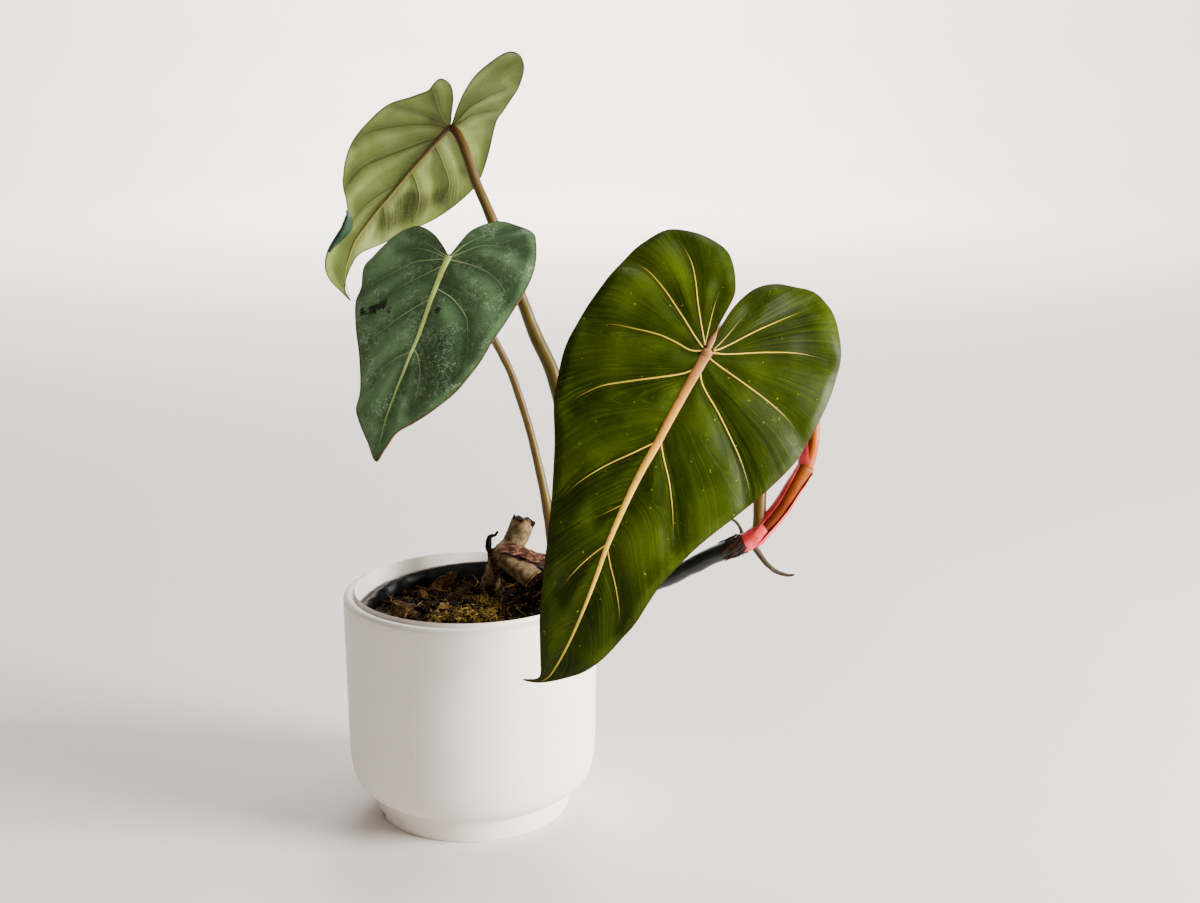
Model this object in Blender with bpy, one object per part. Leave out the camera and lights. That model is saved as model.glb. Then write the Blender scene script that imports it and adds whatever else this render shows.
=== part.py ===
"""Potted philodendron: a creeping plant with three heart-shaped leaves in a white ceramic pot.

Lengths below are in millimetres and become metres when a mesh is made.  The origin is the centre
of the pot's underside and +Z is up.  -Y is the side that the large leaf hangs over.
"""
import math
import random

import bmesh
import bpy
from mathutils import Matrix, Vector, geometry, noise

MM = 0.001
GAP = 0.3

# Pot
POT_RADIUS = 65.0
POT_HEIGHT = 117.5
POT_WALL = 6.0
POT_FLOOR = 9.0
FOOT_RADIUS = 50.2
FOOT_HEIGHT = 14.8
POT_SIDES = 56
NOTCH_WIDTH = 8.0
NOTCH_HEIGHT = 3.2
NOTCH_ANGLE = 205.0

# Inner growing pot
LINER_RIM_RADIUS = 57.2
LINER_RIM_HEIGHT = 111.8
LINER_RIM_SLOPE = 0.05
LINER_WALL = 1.0
LINER_BASE_RADIUS = 43.0
LINER_SIDES = 40
DRAIN_HOLES = 5
DRAIN_RADIUS = 4.0
DRAIN_CIRCLE = 26.0

# Potting mix
MIX_LEVEL = 103.0
MIX_REACH = 51.9
MIX_ROUGHNESS = 3.0
MIX_SIDES = 40
CHUNK_COUNT = 26
CHUNK_SEED = 11

# Stems
STEM_SIDES = 10
VINE_RADIUS = 4.3

# Leaves
BLADE_THICKNESS = 0.7
GRID_STEP = 8.0
EDGE_STEP = 4.5
VEIN_STEP = 6.0
VALLEY_WIDTH = 6.0
RIB_HALF_WIDTH = 2.0


def clear_scene():
    for item in list(bpy.data.objects):
        bpy.data.objects.remove(item, do_unlink=True)


def material(name, colour, roughness, metallic=0.0):
    result = bpy.data.materials.new(name)
    result.use_nodes = True
    shader = result.node_tree.nodes["Principled BSDF"]
    shader.inputs["Base Color"].default_value = (*colour, 1.0)
    shader.inputs["Roughness"].default_value = roughness
    shader.inputs["Metallic"].default_value = metallic
    return result


def add_object(name, mesh, look=None):
    body = bpy.data.objects.new(name, mesh)
    bpy.context.scene.collection.objects.link(body)
    if look is not None:
        mesh.materials.clear()
        mesh.materials.append(look)
    return body


def mesh_from(name, vertices, faces):
    mesh = bpy.data.meshes.new(name)
    mesh.from_pydata([tuple(c * MM for c in v) for v in vertices], [], faces)
    bm = bmesh.new()
    bm.from_mesh(mesh)
    bmesh.ops.remove_doubles(bm, verts=bm.verts, dist=1e-6)
    bmesh.ops.recalc_face_normals(bm, faces=bm.faces)
    bm.to_mesh(mesh)
    bm.free()
    return mesh


def shade(body, degrees=40):
    body.data.shade_smooth()
    body.data.set_sharp_from_angle(angle=math.radians(degrees))


def combine(body, others, operation="UNION", solver="EXACT"):
    """Apply one Boolean of body with each of the other objects, which are then removed."""
    for other in others:
        step = body.modifiers.new("step", "BOOLEAN")
        step.operation = operation
        step.solver = solver
        step.object = other
        graph = bpy.context.evaluated_depsgraph_get()
        result = bpy.data.meshes.new_from_object(body.evaluated_get(graph))
        body.modifiers.clear()
        body.data = result
        bpy.data.objects.remove(other, do_unlink=True)
    return body


def keep_largest(body):
    """Drop loose scraps that a cut leaves, keeping the largest connected shell."""
    bm = bmesh.new()
    bm.from_mesh(body.data)
    bmesh.ops.remove_doubles(bm, verts=bm.verts, dist=2e-6)
    left = set(bm.verts)
    shells = []
    while left:
        stack = [left.pop()]
        shell = set(stack)
        while stack:
            for edge in stack.pop().link_edges:
                for vert in edge.verts:
                    if vert not in shell:
                        shell.add(vert)
                        stack.append(vert)
        left -= shell
        shells.append(shell)
    shells.sort(key=lambda shell: sum(f.calc_area() for f in {f for v in shell for f in v.link_faces}))
    for shell in shells[:-1]:
        bmesh.ops.delete(bm, geom=list(shell), context="VERTS")
    bmesh.ops.triangulate(bm, faces=bm.faces)
    bmesh.ops.recalc_face_normals(bm, faces=bm.faces)
    bm.to_mesh(body.data)
    bm.free()
    return body


def smooth_route(points, count):
    """Points on a smooth curve through the given ones, evenly spread by index."""
    pts = [Vector(p) for p in points]
    ext = [pts[0] * 2 - pts[1]] + pts + [pts[-1] * 2 - pts[-2]]
    result = []
    for i in range(count):
        t = i * (len(pts) - 1) / (count - 1)
        k = min(int(t), len(pts) - 2)
        f = t - k
        a, b, c, d = ext[k:k + 4]
        result.append(0.5 * ((2 * b) + (c - a) * f + (2 * a - 5 * b + 4 * c - d) * f * f
                             + (3 * b - a - 3 * c + d) * f ** 3))
    return result


def swept(name, route, section, look=None, reference=(0.0, 0.0, 1.0)):
    """Sweep a closed section along a route; section(t) gives (side, up) pairs for t from 0 to 1."""
    vertices = []
    rings = []
    side = None
    for i, point in enumerate(route):
        ahead = route[min(i + 1, len(route) - 1)] - route[max(i - 1, 0)]
        ahead.normalize()
        if side is None:
            side = ahead.cross(Vector(reference)).normalized()
        side = (side - ahead * side.dot(ahead)).normalized()
        up = side.cross(ahead)
        ring = []
        for a, b in section(i / (len(route) - 1)):
            ring.append(len(vertices))
            vertices.append(point + side * a + up * b)
        rings.append(ring)
    faces = []
    for low, high in zip(rings, rings[1:]):
        for j in range(len(low)):
            k = (j + 1) % len(low)
            faces.append((low[j], low[k], high[k], high[j]))
    faces.append(tuple(rings[0]))
    faces.append(tuple(rings[-1]))
    return add_object(name, mesh_from(name, vertices, faces), look)


def round_section(radii, sides=STEM_SIDES, flat=1.0):
    """A round section whose radius runs through the given values along the route."""
    def section(t):
        x = t * (len(radii) - 1)
        k = min(int(x), len(radii) - 2)
        radius = radii[k] + (radii[k + 1] - radii[k]) * (x - k)
        turn = 2 * math.pi / sides
        return [(radius * math.cos(turn * j), flat * radius * math.sin(turn * j)) for j in range(sides)]
    return section


def channel_section(inner, outer, opening, start=0.0, steps=7):
    """A C-shaped section, open by the given angle in degrees round the direction start."""
    def section(t):
        half = math.radians(180 - opening / 2)
        middle = math.radians(start + 180)
        outside = []
        inside = []
        for j in range(steps):
            angle = middle - half + 2 * half * j / (steps - 1)
            outside.append((outer(t) * math.cos(angle), outer(t) * math.sin(angle)))
            inside.append((inner(t) * math.cos(angle), inner(t) * math.sin(angle)))
        return outside + inside[::-1]
    return section


def turned(name, profile, sides, look=None):
    """Spin a profile of (radius, height) pairs, which starts and ends on the axis, about Z."""
    bm = bmesh.new()
    verts = [bm.verts.new((r * MM, 0.0, z * MM)) for r, z in profile]
    edges = [bm.edges.new(pair) for pair in zip(verts, verts[1:])]
    bmesh.ops.spin(bm, geom=verts + edges, cent=(0, 0, 0), axis=(0, 0, 1), dvec=(0, 0, 0),
                   angle=2 * math.pi, steps=sides, use_merge=True, use_duplicate=False)
    bmesh.ops.remove_doubles(bm, verts=bm.verts, dist=1e-6)
    bmesh.ops.recalc_face_normals(bm, faces=bm.faces)
    mesh = bpy.data.meshes.new(name)
    bm.to_mesh(mesh)
    bm.free()
    return add_object(name, mesh, look)


def rod(name, centre, radius, depth, sides=12):
    """An upright cylinder round the given centre."""
    bm = bmesh.new()
    bmesh.ops.create_cone(bm, cap_ends=True, segments=sides, radius1=radius * MM,
                          radius2=radius * MM, depth=depth * MM)
    mesh = bpy.data.meshes.new(name)
    bm.to_mesh(mesh)
    bm.free()
    body = add_object(name, mesh)
    body.location = [c * MM for c in centre]
    bpy.context.view_layer.update()
    return body


# Pot and growing pot
def make_pot(look):
    inner = POT_RADIUS - POT_WALL
    profile = [
        (0.0, 0.0), (FOOT_RADIUS - 0.8, 0.0), (FOOT_RADIUS, 0.8), (52.0, FOOT_HEIGHT - 1.4),
        (52.8, FOOT_HEIGHT), (57.2, 15.3), (58.6, 16.2), (60.6, 18.4), (62.4, 22.4), (63.7, 29.0),
        (64.3, 39.0), (64.6, 62.0), (POT_RADIUS, 104.0), (POT_RADIUS, POT_HEIGHT - 2.6),
        (64.2, POT_HEIGHT - 0.8), (62.6, POT_HEIGHT), (61.2, POT_HEIGHT - 0.1),
        (59.7, POT_HEIGHT - 1.0), (inner, POT_HEIGHT - 2.8), (58.4, 60.0), (57.4, 24.0),
        (54.5, 14.0), (49.0, POT_FLOOR + 0.6), (45.0, POT_FLOOR), (0.0, POT_FLOOR),
    ]
    pot = turned("ceramic_pot", profile, POT_SIDES, look)
    bm = bmesh.new()
    bmesh.ops.create_cube(bm, size=1.0)
    mesh = bpy.data.meshes.new("notch")
    bm.to_mesh(mesh)
    bm.free()
    notch = add_object("notch", mesh)
    angle = math.radians(NOTCH_ANGLE)
    notch.scale = (8.0 * MM, NOTCH_WIDTH * MM, 2 * NOTCH_HEIGHT * MM)
    notch.rotation_euler = (0.0, 0.0, angle)
    notch.location = (FOOT_RADIUS * MM * math.cos(angle), FOOT_RADIUS * MM * math.sin(angle), 0.0)
    bpy.context.view_layer.update()
    combine(pot, [notch], "DIFFERENCE")
    keep_largest(pot)
    shade(pot, 35)


def liner_radius(height):
    """Outer radius of the growing pot's wall at a height."""
    low = POT_FLOOR + GAP
    share = (height - low) / (LINER_RIM_HEIGHT - low)
    return LINER_BASE_RADIUS + (LINER_RIM_RADIUS - 2.2 - LINER_BASE_RADIUS) * share


def make_liner(look):
    low = POT_FLOOR + GAP
    top = LINER_RIM_HEIGHT
    wall = LINER_WALL
    profile = [
        (0.0, low), (LINER_BASE_RADIUS - 1.0, low), (LINER_BASE_RADIUS, low + 1.0),
        (liner_radius(top - 5.0), top - 5.0), (LINER_RIM_RADIUS, top - 4.6),
        (LINER_RIM_RADIUS, top - 0.5), (LINER_RIM_RADIUS - 0.7, top), (LINER_RIM_RADIUS - 2.4, top),
        (LINER_RIM_RADIUS - 3.2, top - 0.8), (liner_radius(top - 5.0) - wall, top - 5.0),
        (LINER_BASE_RADIUS - wall, low + 1.8), (LINER_BASE_RADIUS - 2.0, low + wall), (0.0, low + wall),
    ]
    liner = turned("nursery_pot", profile, LINER_SIDES, look)
    for vert in liner.data.vertices:
        if vert.co.z > (top - 5.5) * MM:
            vert.co.z += LINER_RIM_SLOPE * (vert.co.x + vert.co.y)
    cutters = []
    for i in range(DRAIN_HOLES):
        angle = 2 * math.pi * (i + 0.5) / DRAIN_HOLES
        centre = (DRAIN_CIRCLE * math.cos(angle), DRAIN_CIRCLE * math.sin(angle), low)
        cutters.append(rod("hole", centre, DRAIN_RADIUS, 6.0))
    combine(liner, cutters, "DIFFERENCE")
    keep_largest(liner)
    shade(liner, 35)


# Potting mix with the bark that lies in it
def mix_height(x, y):
    swell = noise.noise(Vector((x / 17.0, y / 17.0, 3.1)))
    grain = noise.noise(Vector((x / 6.0, y / 6.0, 8.4)))
    inward = max(0.0, 1.0 - (math.hypot(x, y) / MIX_REACH) ** 4)
    return MIX_LEVEL + inward * (MIX_ROUGHNESS * (swell + 0.5 * grain) + 1.5)


def chunk(name, centre, size, heading, pitch, draw):
    """A flat-sided lump of bark with knocked-off corners, as a jittered six-sided drum."""
    bm = bmesh.new()
    bmesh.ops.create_cone(bm, cap_ends=True, segments=6, radius1=0.5, radius2=0.38, depth=1.0)
    for vert in bm.verts:
        vert.co += Vector([draw.uniform(-0.09, 0.09) for _ in range(3)])
    place = (Matrix.Translation(Vector(centre) * MM) @ Matrix.Rotation(heading, 4, "Z")
             @ Matrix.Rotation(pitch, 4, "Y") @ Matrix.Diagonal((*[s * MM for s in size], 1.0)))
    bmesh.ops.transform(bm, matrix=place, verts=bm.verts)
    bmesh.ops.recalc_face_normals(bm, faces=bm.faces)
    mesh = bpy.data.meshes.new(name)
    bm.to_mesh(mesh)
    bm.free()
    return add_object(name, mesh)


# Lumps that show in front and at the left: x, y, lift, length, width, thickness, heading in degrees
MARKED_CHUNKS = (
    (-36.0, -7.0, 3.0, 13.0, 12.0, 11.0, 30),
    (-18.0, 33.0, 3.5, 20.0, 11.0, 8.0, -35),
    (2.0, -23.0, 4.5, 34.0, 15.0, 10.0, 5),
    (-9.0, 24.0, 2.5, 13.0, 4.5, 5.0, -40),
    (-14.0, -6.0, 1.5, 15.0, 10.0, 8.0, 70),
)


def make_mix(look, stems):
    floor = POT_FLOOR + GAP + LINER_WALL + GAP
    reach = MIX_REACH
    rings = 8
    vertices = [(0.0, 0.0, mix_height(0.0, 0.0))]
    faces = []
    for i in range(1, rings + 1):
        for j in range(MIX_SIDES):
            angle = 2 * math.pi * j / MIX_SIDES
            r = reach * i / rings
            x, y = r * math.cos(angle), r * math.sin(angle)
            vertices.append((x, y, mix_height(x, y)))
    base = LINER_BASE_RADIUS - LINER_WALL - GAP - 1.2
    for j in range(MIX_SIDES):
        angle = 2 * math.pi * j / MIX_SIDES
        vertices.append((base * math.cos(angle), base * math.sin(angle), floor))
    for j in range(MIX_SIDES):
        k = (j + 1) % MIX_SIDES
        faces.append((0, 1 + j, 1 + k))
        for i in range(rings):
            low, high = 1 + i * MIX_SIDES, 1 + (i + 1) * MIX_SIDES
            faces.append((low + j, high + j, high + k, low + k))
    faces.append(tuple(1 + rings * MIX_SIDES + j for j in range(MIX_SIDES)))
    mix = add_object("potting_mix", mesh_from("potting_mix", vertices, faces), look)
    draw = random.Random(CHUNK_SEED)
    lumps = []
    for x, y, lift, length, width, thick, heading in MARKED_CHUNKS:
        centre = (x, y, mix_height(x, y) + lift - 0.35 * thick)
        lumps.append(chunk("bark", centre, (length, width, thick), math.radians(heading), 0.1, draw))
    for _ in range(CHUNK_COUNT):
        r = (reach - 10.0) * math.sqrt(draw.random())
        angle = draw.uniform(0, 2 * math.pi)
        x, y = r * math.cos(angle), r * math.sin(angle)
        size = [draw.uniform(7.0, 14.0), draw.uniform(5.0, 9.0), draw.uniform(5.0, 8.0)]
        centre = (x, y, mix_height(x, y) - 0.1 * size[2])
        lumps.append(chunk("bark", centre, size, draw.uniform(0, 6.28), draw.uniform(-0.4, 0.4), draw))
    combine(mix, lumps)
    keep_largest(mix)
    combine(mix, stems, "DIFFERENCE")
    keep_largest(mix)
    shade(mix, 25)


# Stems, petioles and roots: each route starts at its root end
RHIZOME_ROUTE = [(11.5, 32, 128), (15.7, 30, 125.9), (23.5, 26.5, 120.8), (31.7, 22.5, 114.8)]
RHIZOME_RADII = [4.6, 6.1, 6.0, 5.9, 5.9]
STUB_ROUTE = [(14.5, 32, 124.5), (17.5, 35, 128), (20.6, 37, 131), (25.9, 38.5, 142.6)]
STUB_RADII = [5.2, 6.0, 6.2, 6.4]
LEG_ROUTE = [(7.0, 38.5, 92), (7.4, 38, 104), (9.5, 35, 115), (13.5, 31.5, 124.5)]
LEG_RADII = [5.2, 5.4, 4.6, 4.8]
SHEATH_ROUTE = [(13.6, 27.5, 130.6), (21.8, 28, 129.8), (28.8, 29, 126.4), (35.6, 30.5, 123.2),
                (39.5, 31, 120.5)]
SHEATH_SIDES = 12
CURL_ROUTE = [(13.1, 31, 131.1), (9.8, 31, 127.8), (7.5, 31, 130.6), (8.4, 31, 136.1),
              (10.8, 31, 136.9), (12.6, 31, 138.9)]
CURL_RADII = [1.5, 1.7, 1.8, 1.3, 1.0, 0.6]
VINE_ROUTE = [(40, 8, 105), (45, 3, 112), (52, -8, 119), (59.5, -19, 122.6), (72, -24, 124.4),
              (87, -26, 127.5), (99, -28, 132), (110, -29, 137.6), (121, -30.5, 143.8),
              (131, -31, 148.6), (138, -31, 151.6)]
PETIOLE_TOP_ROUTE = [(52.5, -8.5, 118), (54, -6, 130), (55, 0, 149), (53.5, 6, 174), (49.5, 12, 201),
                     (43, 17, 226), (34, 21, 246), (27, 24, 264), (19, 28, 286), (11, 32, 306),
                     (4, 36, 322), (-1, 40, 336), (-5.5, 45, 345.5), (-9.3, 49.2, 349.2)]
PETIOLE_LEFT_ROUTE = [(46, 2.5, 112), (45.5, 3.5, 122), (43, 4, 140), (40, 3.5, 159), (37, 5, 174),
                      (33, 7, 192), (28, 8, 210), (21, 8, 231), (12.5, 5.5, 249), (3, 0, 270),
                      (-2.5, -8, 283), (-5.4, -18.6, 290.6)]
PETIOLE_BIG_ROUTE = [(143.5, -31, 153), (145, -31, 158), (145.5, -28, 173), (148, -22, 191),
                     (149, -17, 210), (146.5, -16, 230), (140, -20, 248), (131.5, -30, 259),
                     (123.5, -44, 259.5), (116.8, -57.4, 252.6)]
PETIOLE_TOP_RADII = [5.0, 4.4, 4.0, 3.6, 3.0, 2.6, 2.4, 2.2]
PETIOLE_LEFT_RADII = [4.6, 3.6, 2.4, 2.1, 2.0, 2.0, 1.9]
PETIOLE_BIG_RADII = [3.5, 3.1, 2.7, 2.6, 2.6, 2.6, 2.6]
SHOOT_ROUTE = [(141, -31, 152.8), (145, -31, 156), (155, -30, 168), (162, -29, 179.5), (168.5, -27, 190)]
SPEAR_ROUTE = [(167.6, -27.3, 188.4), (169.4, -26.3, 192.5), (171.3, -25, 200), (172, -22, 211),
               (170.5, -19.5, 223), (168, -17.5, 235)]
SPEAR_RADII = [3.2, 3.2, 3.0, 2.7, 2.2, 0.8]
SHOOT_RADII = [3.4, 3.4, 3.5]
CUP_ROUTE = [(137.2, -31, 151.2), (141, -31, 153), (145.5, -30.9, 156.6)]
CUP_RADII = [5.3, 5.4, 4.8]
LOWER_BRACT_ROUTE = [(142.5, -31, 153.8)] + SHOOT_ROUTE[1:-1] + [(167.6, -27.3, 188.4)]
LOWER_OPENING = 125.0
LOWER_OPENS_TOWARDS = 285.0
UPPER_BRACT_ROUTE = [(168.3, -26.6, 191.5), (168.9, -25.4, 200), (168.6, -22.6, 210), (167, -20, 221)]
UPPER_OPENING = 150.0
UPPER_OPENS_TOWARDS = 250.0
LONG_ROOT_ROUTE = [(141.5, -32.5, 152), (144, -33, 148), (147, -35, 144), (150, -37, 141),
                   (154, -38, 138.4), (159, -39, 137.2), (162, -40, 137.8)]
LONG_ROOT_RADII = [1.4, 1.3, 1.2, 1.1, 1.0, 0.8, 0.5]
SHORT_ROOT_RADII = [0.9, 0.85, 0.8, 0.75, 0.5]
SHORT_ROOT_ROUTE = [(137.5, -30.5, 152.5), (136.6, -28, 156.4), (135, -23, 159), (132.5, -20, 160.4),
                    (129, -19, 160.6)]


def stem(name, route, count, radii, look=None, sides=STEM_SIDES, flat=1.0, grow=0.0):
    path = smooth_route(route, count)
    return swept(name, path, round_section([r + grow for r in radii], sides, flat), look)


def ragged_top(body, axis, height, depth, draw):
    """Break the flat cut end of a stub into uneven splinters."""
    for vert in body.data.vertices:
        along = vert.co.dot(axis)
        if along > height:
            vert.co += axis * draw.uniform(-depth, depth * 0.4) * MM


def make_old_stem(look, grow=0.0, name="old_stem"):
    """The creeping stem's cut piece, with the leg it stands on and the stub of a leaf stalk."""
    draw = random.Random(4)
    body = stem(name, RHIZOME_ROUTE, 10, RHIZOME_RADII, look, 12, 1.0, grow)
    stub = stem("stub", STUB_ROUTE, 7, STUB_RADII, None, 12, 0.9, grow)
    ends = [Vector(p) for p in STUB_ROUTE[-2:]]
    axis = (ends[1] - ends[0]).normalized()
    ragged_top(stub, axis, (ends[1].dot(axis) - 0.5) * MM, 3.0, draw)
    leg = stem("leg", LEG_ROUTE, 9, LEG_RADII, None, 10, 0.85, grow)
    combine(body, [stub, leg])
    return keep_largest(body)


def make_sheath_scrap(look):
    """Dry papery bract that lies over the old stem, with a dark curled end at the left."""
    path = smooth_route(SHEATH_ROUTE, SHEATH_SIDES)
    draw = random.Random(9)
    ripple = [draw.uniform(-0.8, 0.8) for _ in range(2 * SHEATH_SIDES)]

    def section(t):
        k = int(round(t * (SHEATH_SIDES - 1)))
        wide = 4.6 + 0.8 * t + ripple[k]
        lift = 0.6 * ripple[k + SHEATH_SIDES]
        front = (0.75 * wide, -0.85 * wide + lift)
        back = (-0.45 * wide, 0.85 * wide - lift)
        return [front, (0.2, 0.1), back, (back[0] + 0.8, back[1] + 0.6), (1.5, 1.1),
                (front[0] + 0.8, front[1] + 0.6)]
    body = swept("dried_sheath", path, section, look)
    curl = stem("curl", CURL_ROUTE, 12, CURL_RADII, None, 6)
    combine(body, [curl])
    combine(body, [make_old_stem(None, GAP, "old_stem_room")], "DIFFERENCE")
    return keep_largest(body)


# Leaf blades.  u runs from the petiole's joint to the tip, v to the side; both follow the surface.
class Leaf:
    """A heart-shaped blade: its place, its bends and the course of its edge and veins."""

    def __init__(self, name, hub, tip_way, face_way, length, bend, lobe_bend, lift, droop,
                 edge, veins, quilt, rib, curl=(0.0, 0.0, 1.0, 0.0)):
        self.name = name
        self.hub = Vector(hub)
        ahead = Vector(tip_way).normalized()
        face = Vector(face_way)
        face = (face - ahead * face.dot(ahead)).normalized()
        side = face.cross(ahead)
        self.turn = Matrix((ahead, side, face)).transposed().to_4x4()
        self.length = length
        self.bend = bend
        self.lobe_bend = lobe_bend
        self.lift = lift
        self.droop = droop
        self.edge = edge
        self.veins = veins
        self.quilt = quilt
        self.rib = rib
        self.curl = curl

    def half_width(self, u, side):
        """Distance along the surface from the midrib to the edge, on the side -1 or +1."""
        pairs = sorted((a, abs(b)) for a, b in self.edge if b * side > 0 and abs(b) > 5)
        best = 0.0
        for (a0, b0), (a1, b1) in zip(pairs, pairs[1:]):
            if a0 <= u <= a1 and a1 > a0:
                best = max(best, b0 + (b1 - b0) * (u - a0) / (a1 - a0))
        return best

    def base_point(self, u, v):
        """Point and normal of the bent sheet at (u, v), in the leaf's own frame."""
        k = self.bend if u > 0 else self.lobe_bend
        theta = k * u
        x = math.sin(theta) / k
        z = -(1.0 - math.cos(theta)) / k
        ahead = Vector((math.cos(theta), 0.0, -math.sin(theta)))
        face = Vector((math.sin(theta), 0.0, math.cos(theta)))
        which = 0 if v < 0 else 1
        s = abs(v)
        start = self.lift[which] * min(1.0, s / 6.0) if u < 0 else self.lift[which]
        c = self.droop[which]
        out = (math.sin(start + c * s) - math.sin(start)) / c
        down = (math.cos(start) - math.cos(start + c * s)) / c
        slope = start + c * s
        sign = -1.0 if v < 0 else 1.0
        depth, u0, u1, reach = self.curl
        if depth and v > 0 and u0 < u < u1:
            swell = math.sin(math.pi * (u - u0) / (u1 - u0))
            over = s - (self.half_width(u, 1) - reach)
            if over > 0:
                root = Vector((0.0, sign * (out - over * math.cos(slope)), 0.0)) + face * (
                    -down + over * math.sin(slope))
                bend = depth * swell / reach
                arc = bend * over
                along = math.sin(slope + arc) - math.sin(slope)
                fall = math.cos(slope) - math.cos(slope + arc)
                if bend > 1e-6:
                    out = abs(root.y) + along / bend
                    down = -root.dot(face) + fall / bend
                    slope += arc
        point = Vector((x, 0.0, z)) + Vector((0.0, sign * out, 0.0)) - face * down
        normal = face * math.cos(slope) + Vector((0.0, sign * math.sin(slope), 0.0))
        return point, normal.normalized()

    def vein_lines(self):
        """Smoothed vein courses as lists of (u, v)."""
        lines = []
        for vein in self.veins:
            route = smooth_route([(a, b, 0.0) for a, b in vein], 12)
            lines.append([(p.x, p.y) for p in route])
        return lines

    def outline(self):
        """The edge as evenly spaced points, from the joint round the blade and back."""
        route = smooth_route([(0.0, 0.0, 0.0)] + [(a, b, 0.0) for a, b in self.edge], 60 * 6)
        result = [route[0]]
        for point in route[1:]:
            if (point - result[-1]).length >= EDGE_STEP:
                result.append(point)
        if (result[-1] - result[0]).length < EDGE_STEP * 0.6:
            result.pop()
        tip = max(self.edge, key=lambda p: p[0])
        spot = min(range(len(result)), key=lambda i: (result[i].x - tip[0]) ** 2 + (result[i].y - tip[1]) ** 2)
        result[spot] = Vector((tip[0], tip[1], 0.0))
        return [(p.x, p.y) for p in result]


def resample(line, step):
    result = [line[0]]
    for point in line[1:]:
        if math.dist(point, result[-1]) >= step:
            result.append(point)
    return result


def blade_plan(leaf):
    """Split the flat plan of a blade into triangles that follow its edge, midrib and veins."""
    edge = leaf.outline()
    points = [Vector(p) for p in edge]
    links = []

    def inside(p, margin):
        hit = False
        near = 1e9
        for i, a in enumerate(edge):
            b = edge[(i + 1) % len(edge)]
            if (a[1] > p[1]) != (b[1] > p[1]):
                if p[0] < (b[0] - a[0]) * (p[1] - a[1]) / (b[1] - a[1]) + a[0]:
                    hit = not hit
            length = (b[0] - a[0]) ** 2 + (b[1] - a[1]) ** 2
            t = ((p[0] - a[0]) * (b[0] - a[0]) + (p[1] - a[1]) * (b[1] - a[1])) / length
            t = max(0.0, min(1.0, t))
            near = min(near, math.dist(p, (a[0] + t * (b[0] - a[0]), a[1] + t * (b[1] - a[1]))))
        return hit and near > margin

    def add_line(line, margin):
        last = None
        for p in line:
            if inside(p, margin) and all(math.dist(p, q) > margin for q in points):
                points.append(Vector(p))
                if last is not None:
                    links.append((last, len(points) - 1))
                last = len(points) - 1

    steps = int(leaf.length / 9.0)
    middle = [(leaf.length * (i + 0.4) / steps, 0.0) for i in range(steps)]
    add_line(middle, 2.4)
    for side in (-1, 1):
        add_line([(u, side * RIB_HALF_WIDTH) for u, _ in middle if u < leaf.length * 0.9], 1.2)
    for line in leaf.vein_lines():
        add_line(resample(line, VEIN_STEP)[1:], 2.2)
    row = 0
    u = -90.0
    while u < leaf.length:
        v = -70.0 + (row % 2) * GRID_STEP / 2
        while v < 70.0:
            p = (u, v)
            if inside(p, 3.4) and all(math.dist(p, q) > GRID_STEP * 0.55 for q in points):
                points.append(Vector(p))
            v += GRID_STEP
        u += GRID_STEP * 0.866
        row += 1
    plan = geometry.delaunay_2d_cdt(points, links, [list(range(len(edge)))], 1, 1e-4)
    return [tuple(p) for p in plan[0]], [tuple(f) for f in plan[2]]


def blade_relief(leaf, lines, u, v):
    """Rise of the soft cushions between the veins, and depth of the rib under the midrib."""
    near = 40.0 if u < 0 else abs(v)
    for line in lines:
        for (a0, b0), (a1, b1) in zip(line, line[1:]):
            length = (a1 - a0) ** 2 + (b1 - b0) ** 2 + 1e-9
            t = max(0.0, min(1.0, ((u - a0) * (a1 - a0) + (v - b0) * (b1 - b0)) / length))
            near = min(near, math.dist((u, v), (a0 + t * (a1 - a0), b0 + t * (b1 - b0))))
    rise = leaf.quilt * (1.0 - math.exp(-(near / VALLEY_WIDTH) ** 2))
    rib = 0.0
    if u >= 0 and abs(v) < RIB_HALF_WIDTH:
        rib = leaf.rib * (1.0 - abs(v) / RIB_HALF_WIDTH) * (1.0 - 0.8 * u / leaf.length)
    return rise, rib


def make_blade(leaf, look=None, above=0.0, below=0.0, name=None):
    """Close the plan into a thin curved solid; above and below thicken it into a cutter."""
    plan, faces = blade_plan(leaf)
    lines = leaf.vein_lines()
    top = []
    under = []
    for u, v in plan:
        point, normal = leaf.base_point(u, v)
        rise, rib = blade_relief(leaf, lines, u, v)
        top.append(point + normal * (rise + above))
        under.append(point + normal * (rise - BLADE_THICKNESS - rib - below))
    count = len(plan)
    used = {}
    for a, b, c in faces:
        for pair in ((a, b), (b, c), (c, a)):
            used[pair] = True
    solid = list(faces)
    solid += [tuple(i + count for i in reversed(face)) for face in faces]
    for a, b in used:
        if (b, a) not in used:
            solid.append((b, a, a + count))
            solid.append((b, a + count, b + count))
    mesh = mesh_from(name or leaf.name, top + under, solid)
    body = add_object(name or leaf.name, mesh, look)
    body.matrix_world = Matrix.Translation(leaf.hub * MM) @ leaf.turn
    bpy.context.view_layer.update()
    return body


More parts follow.
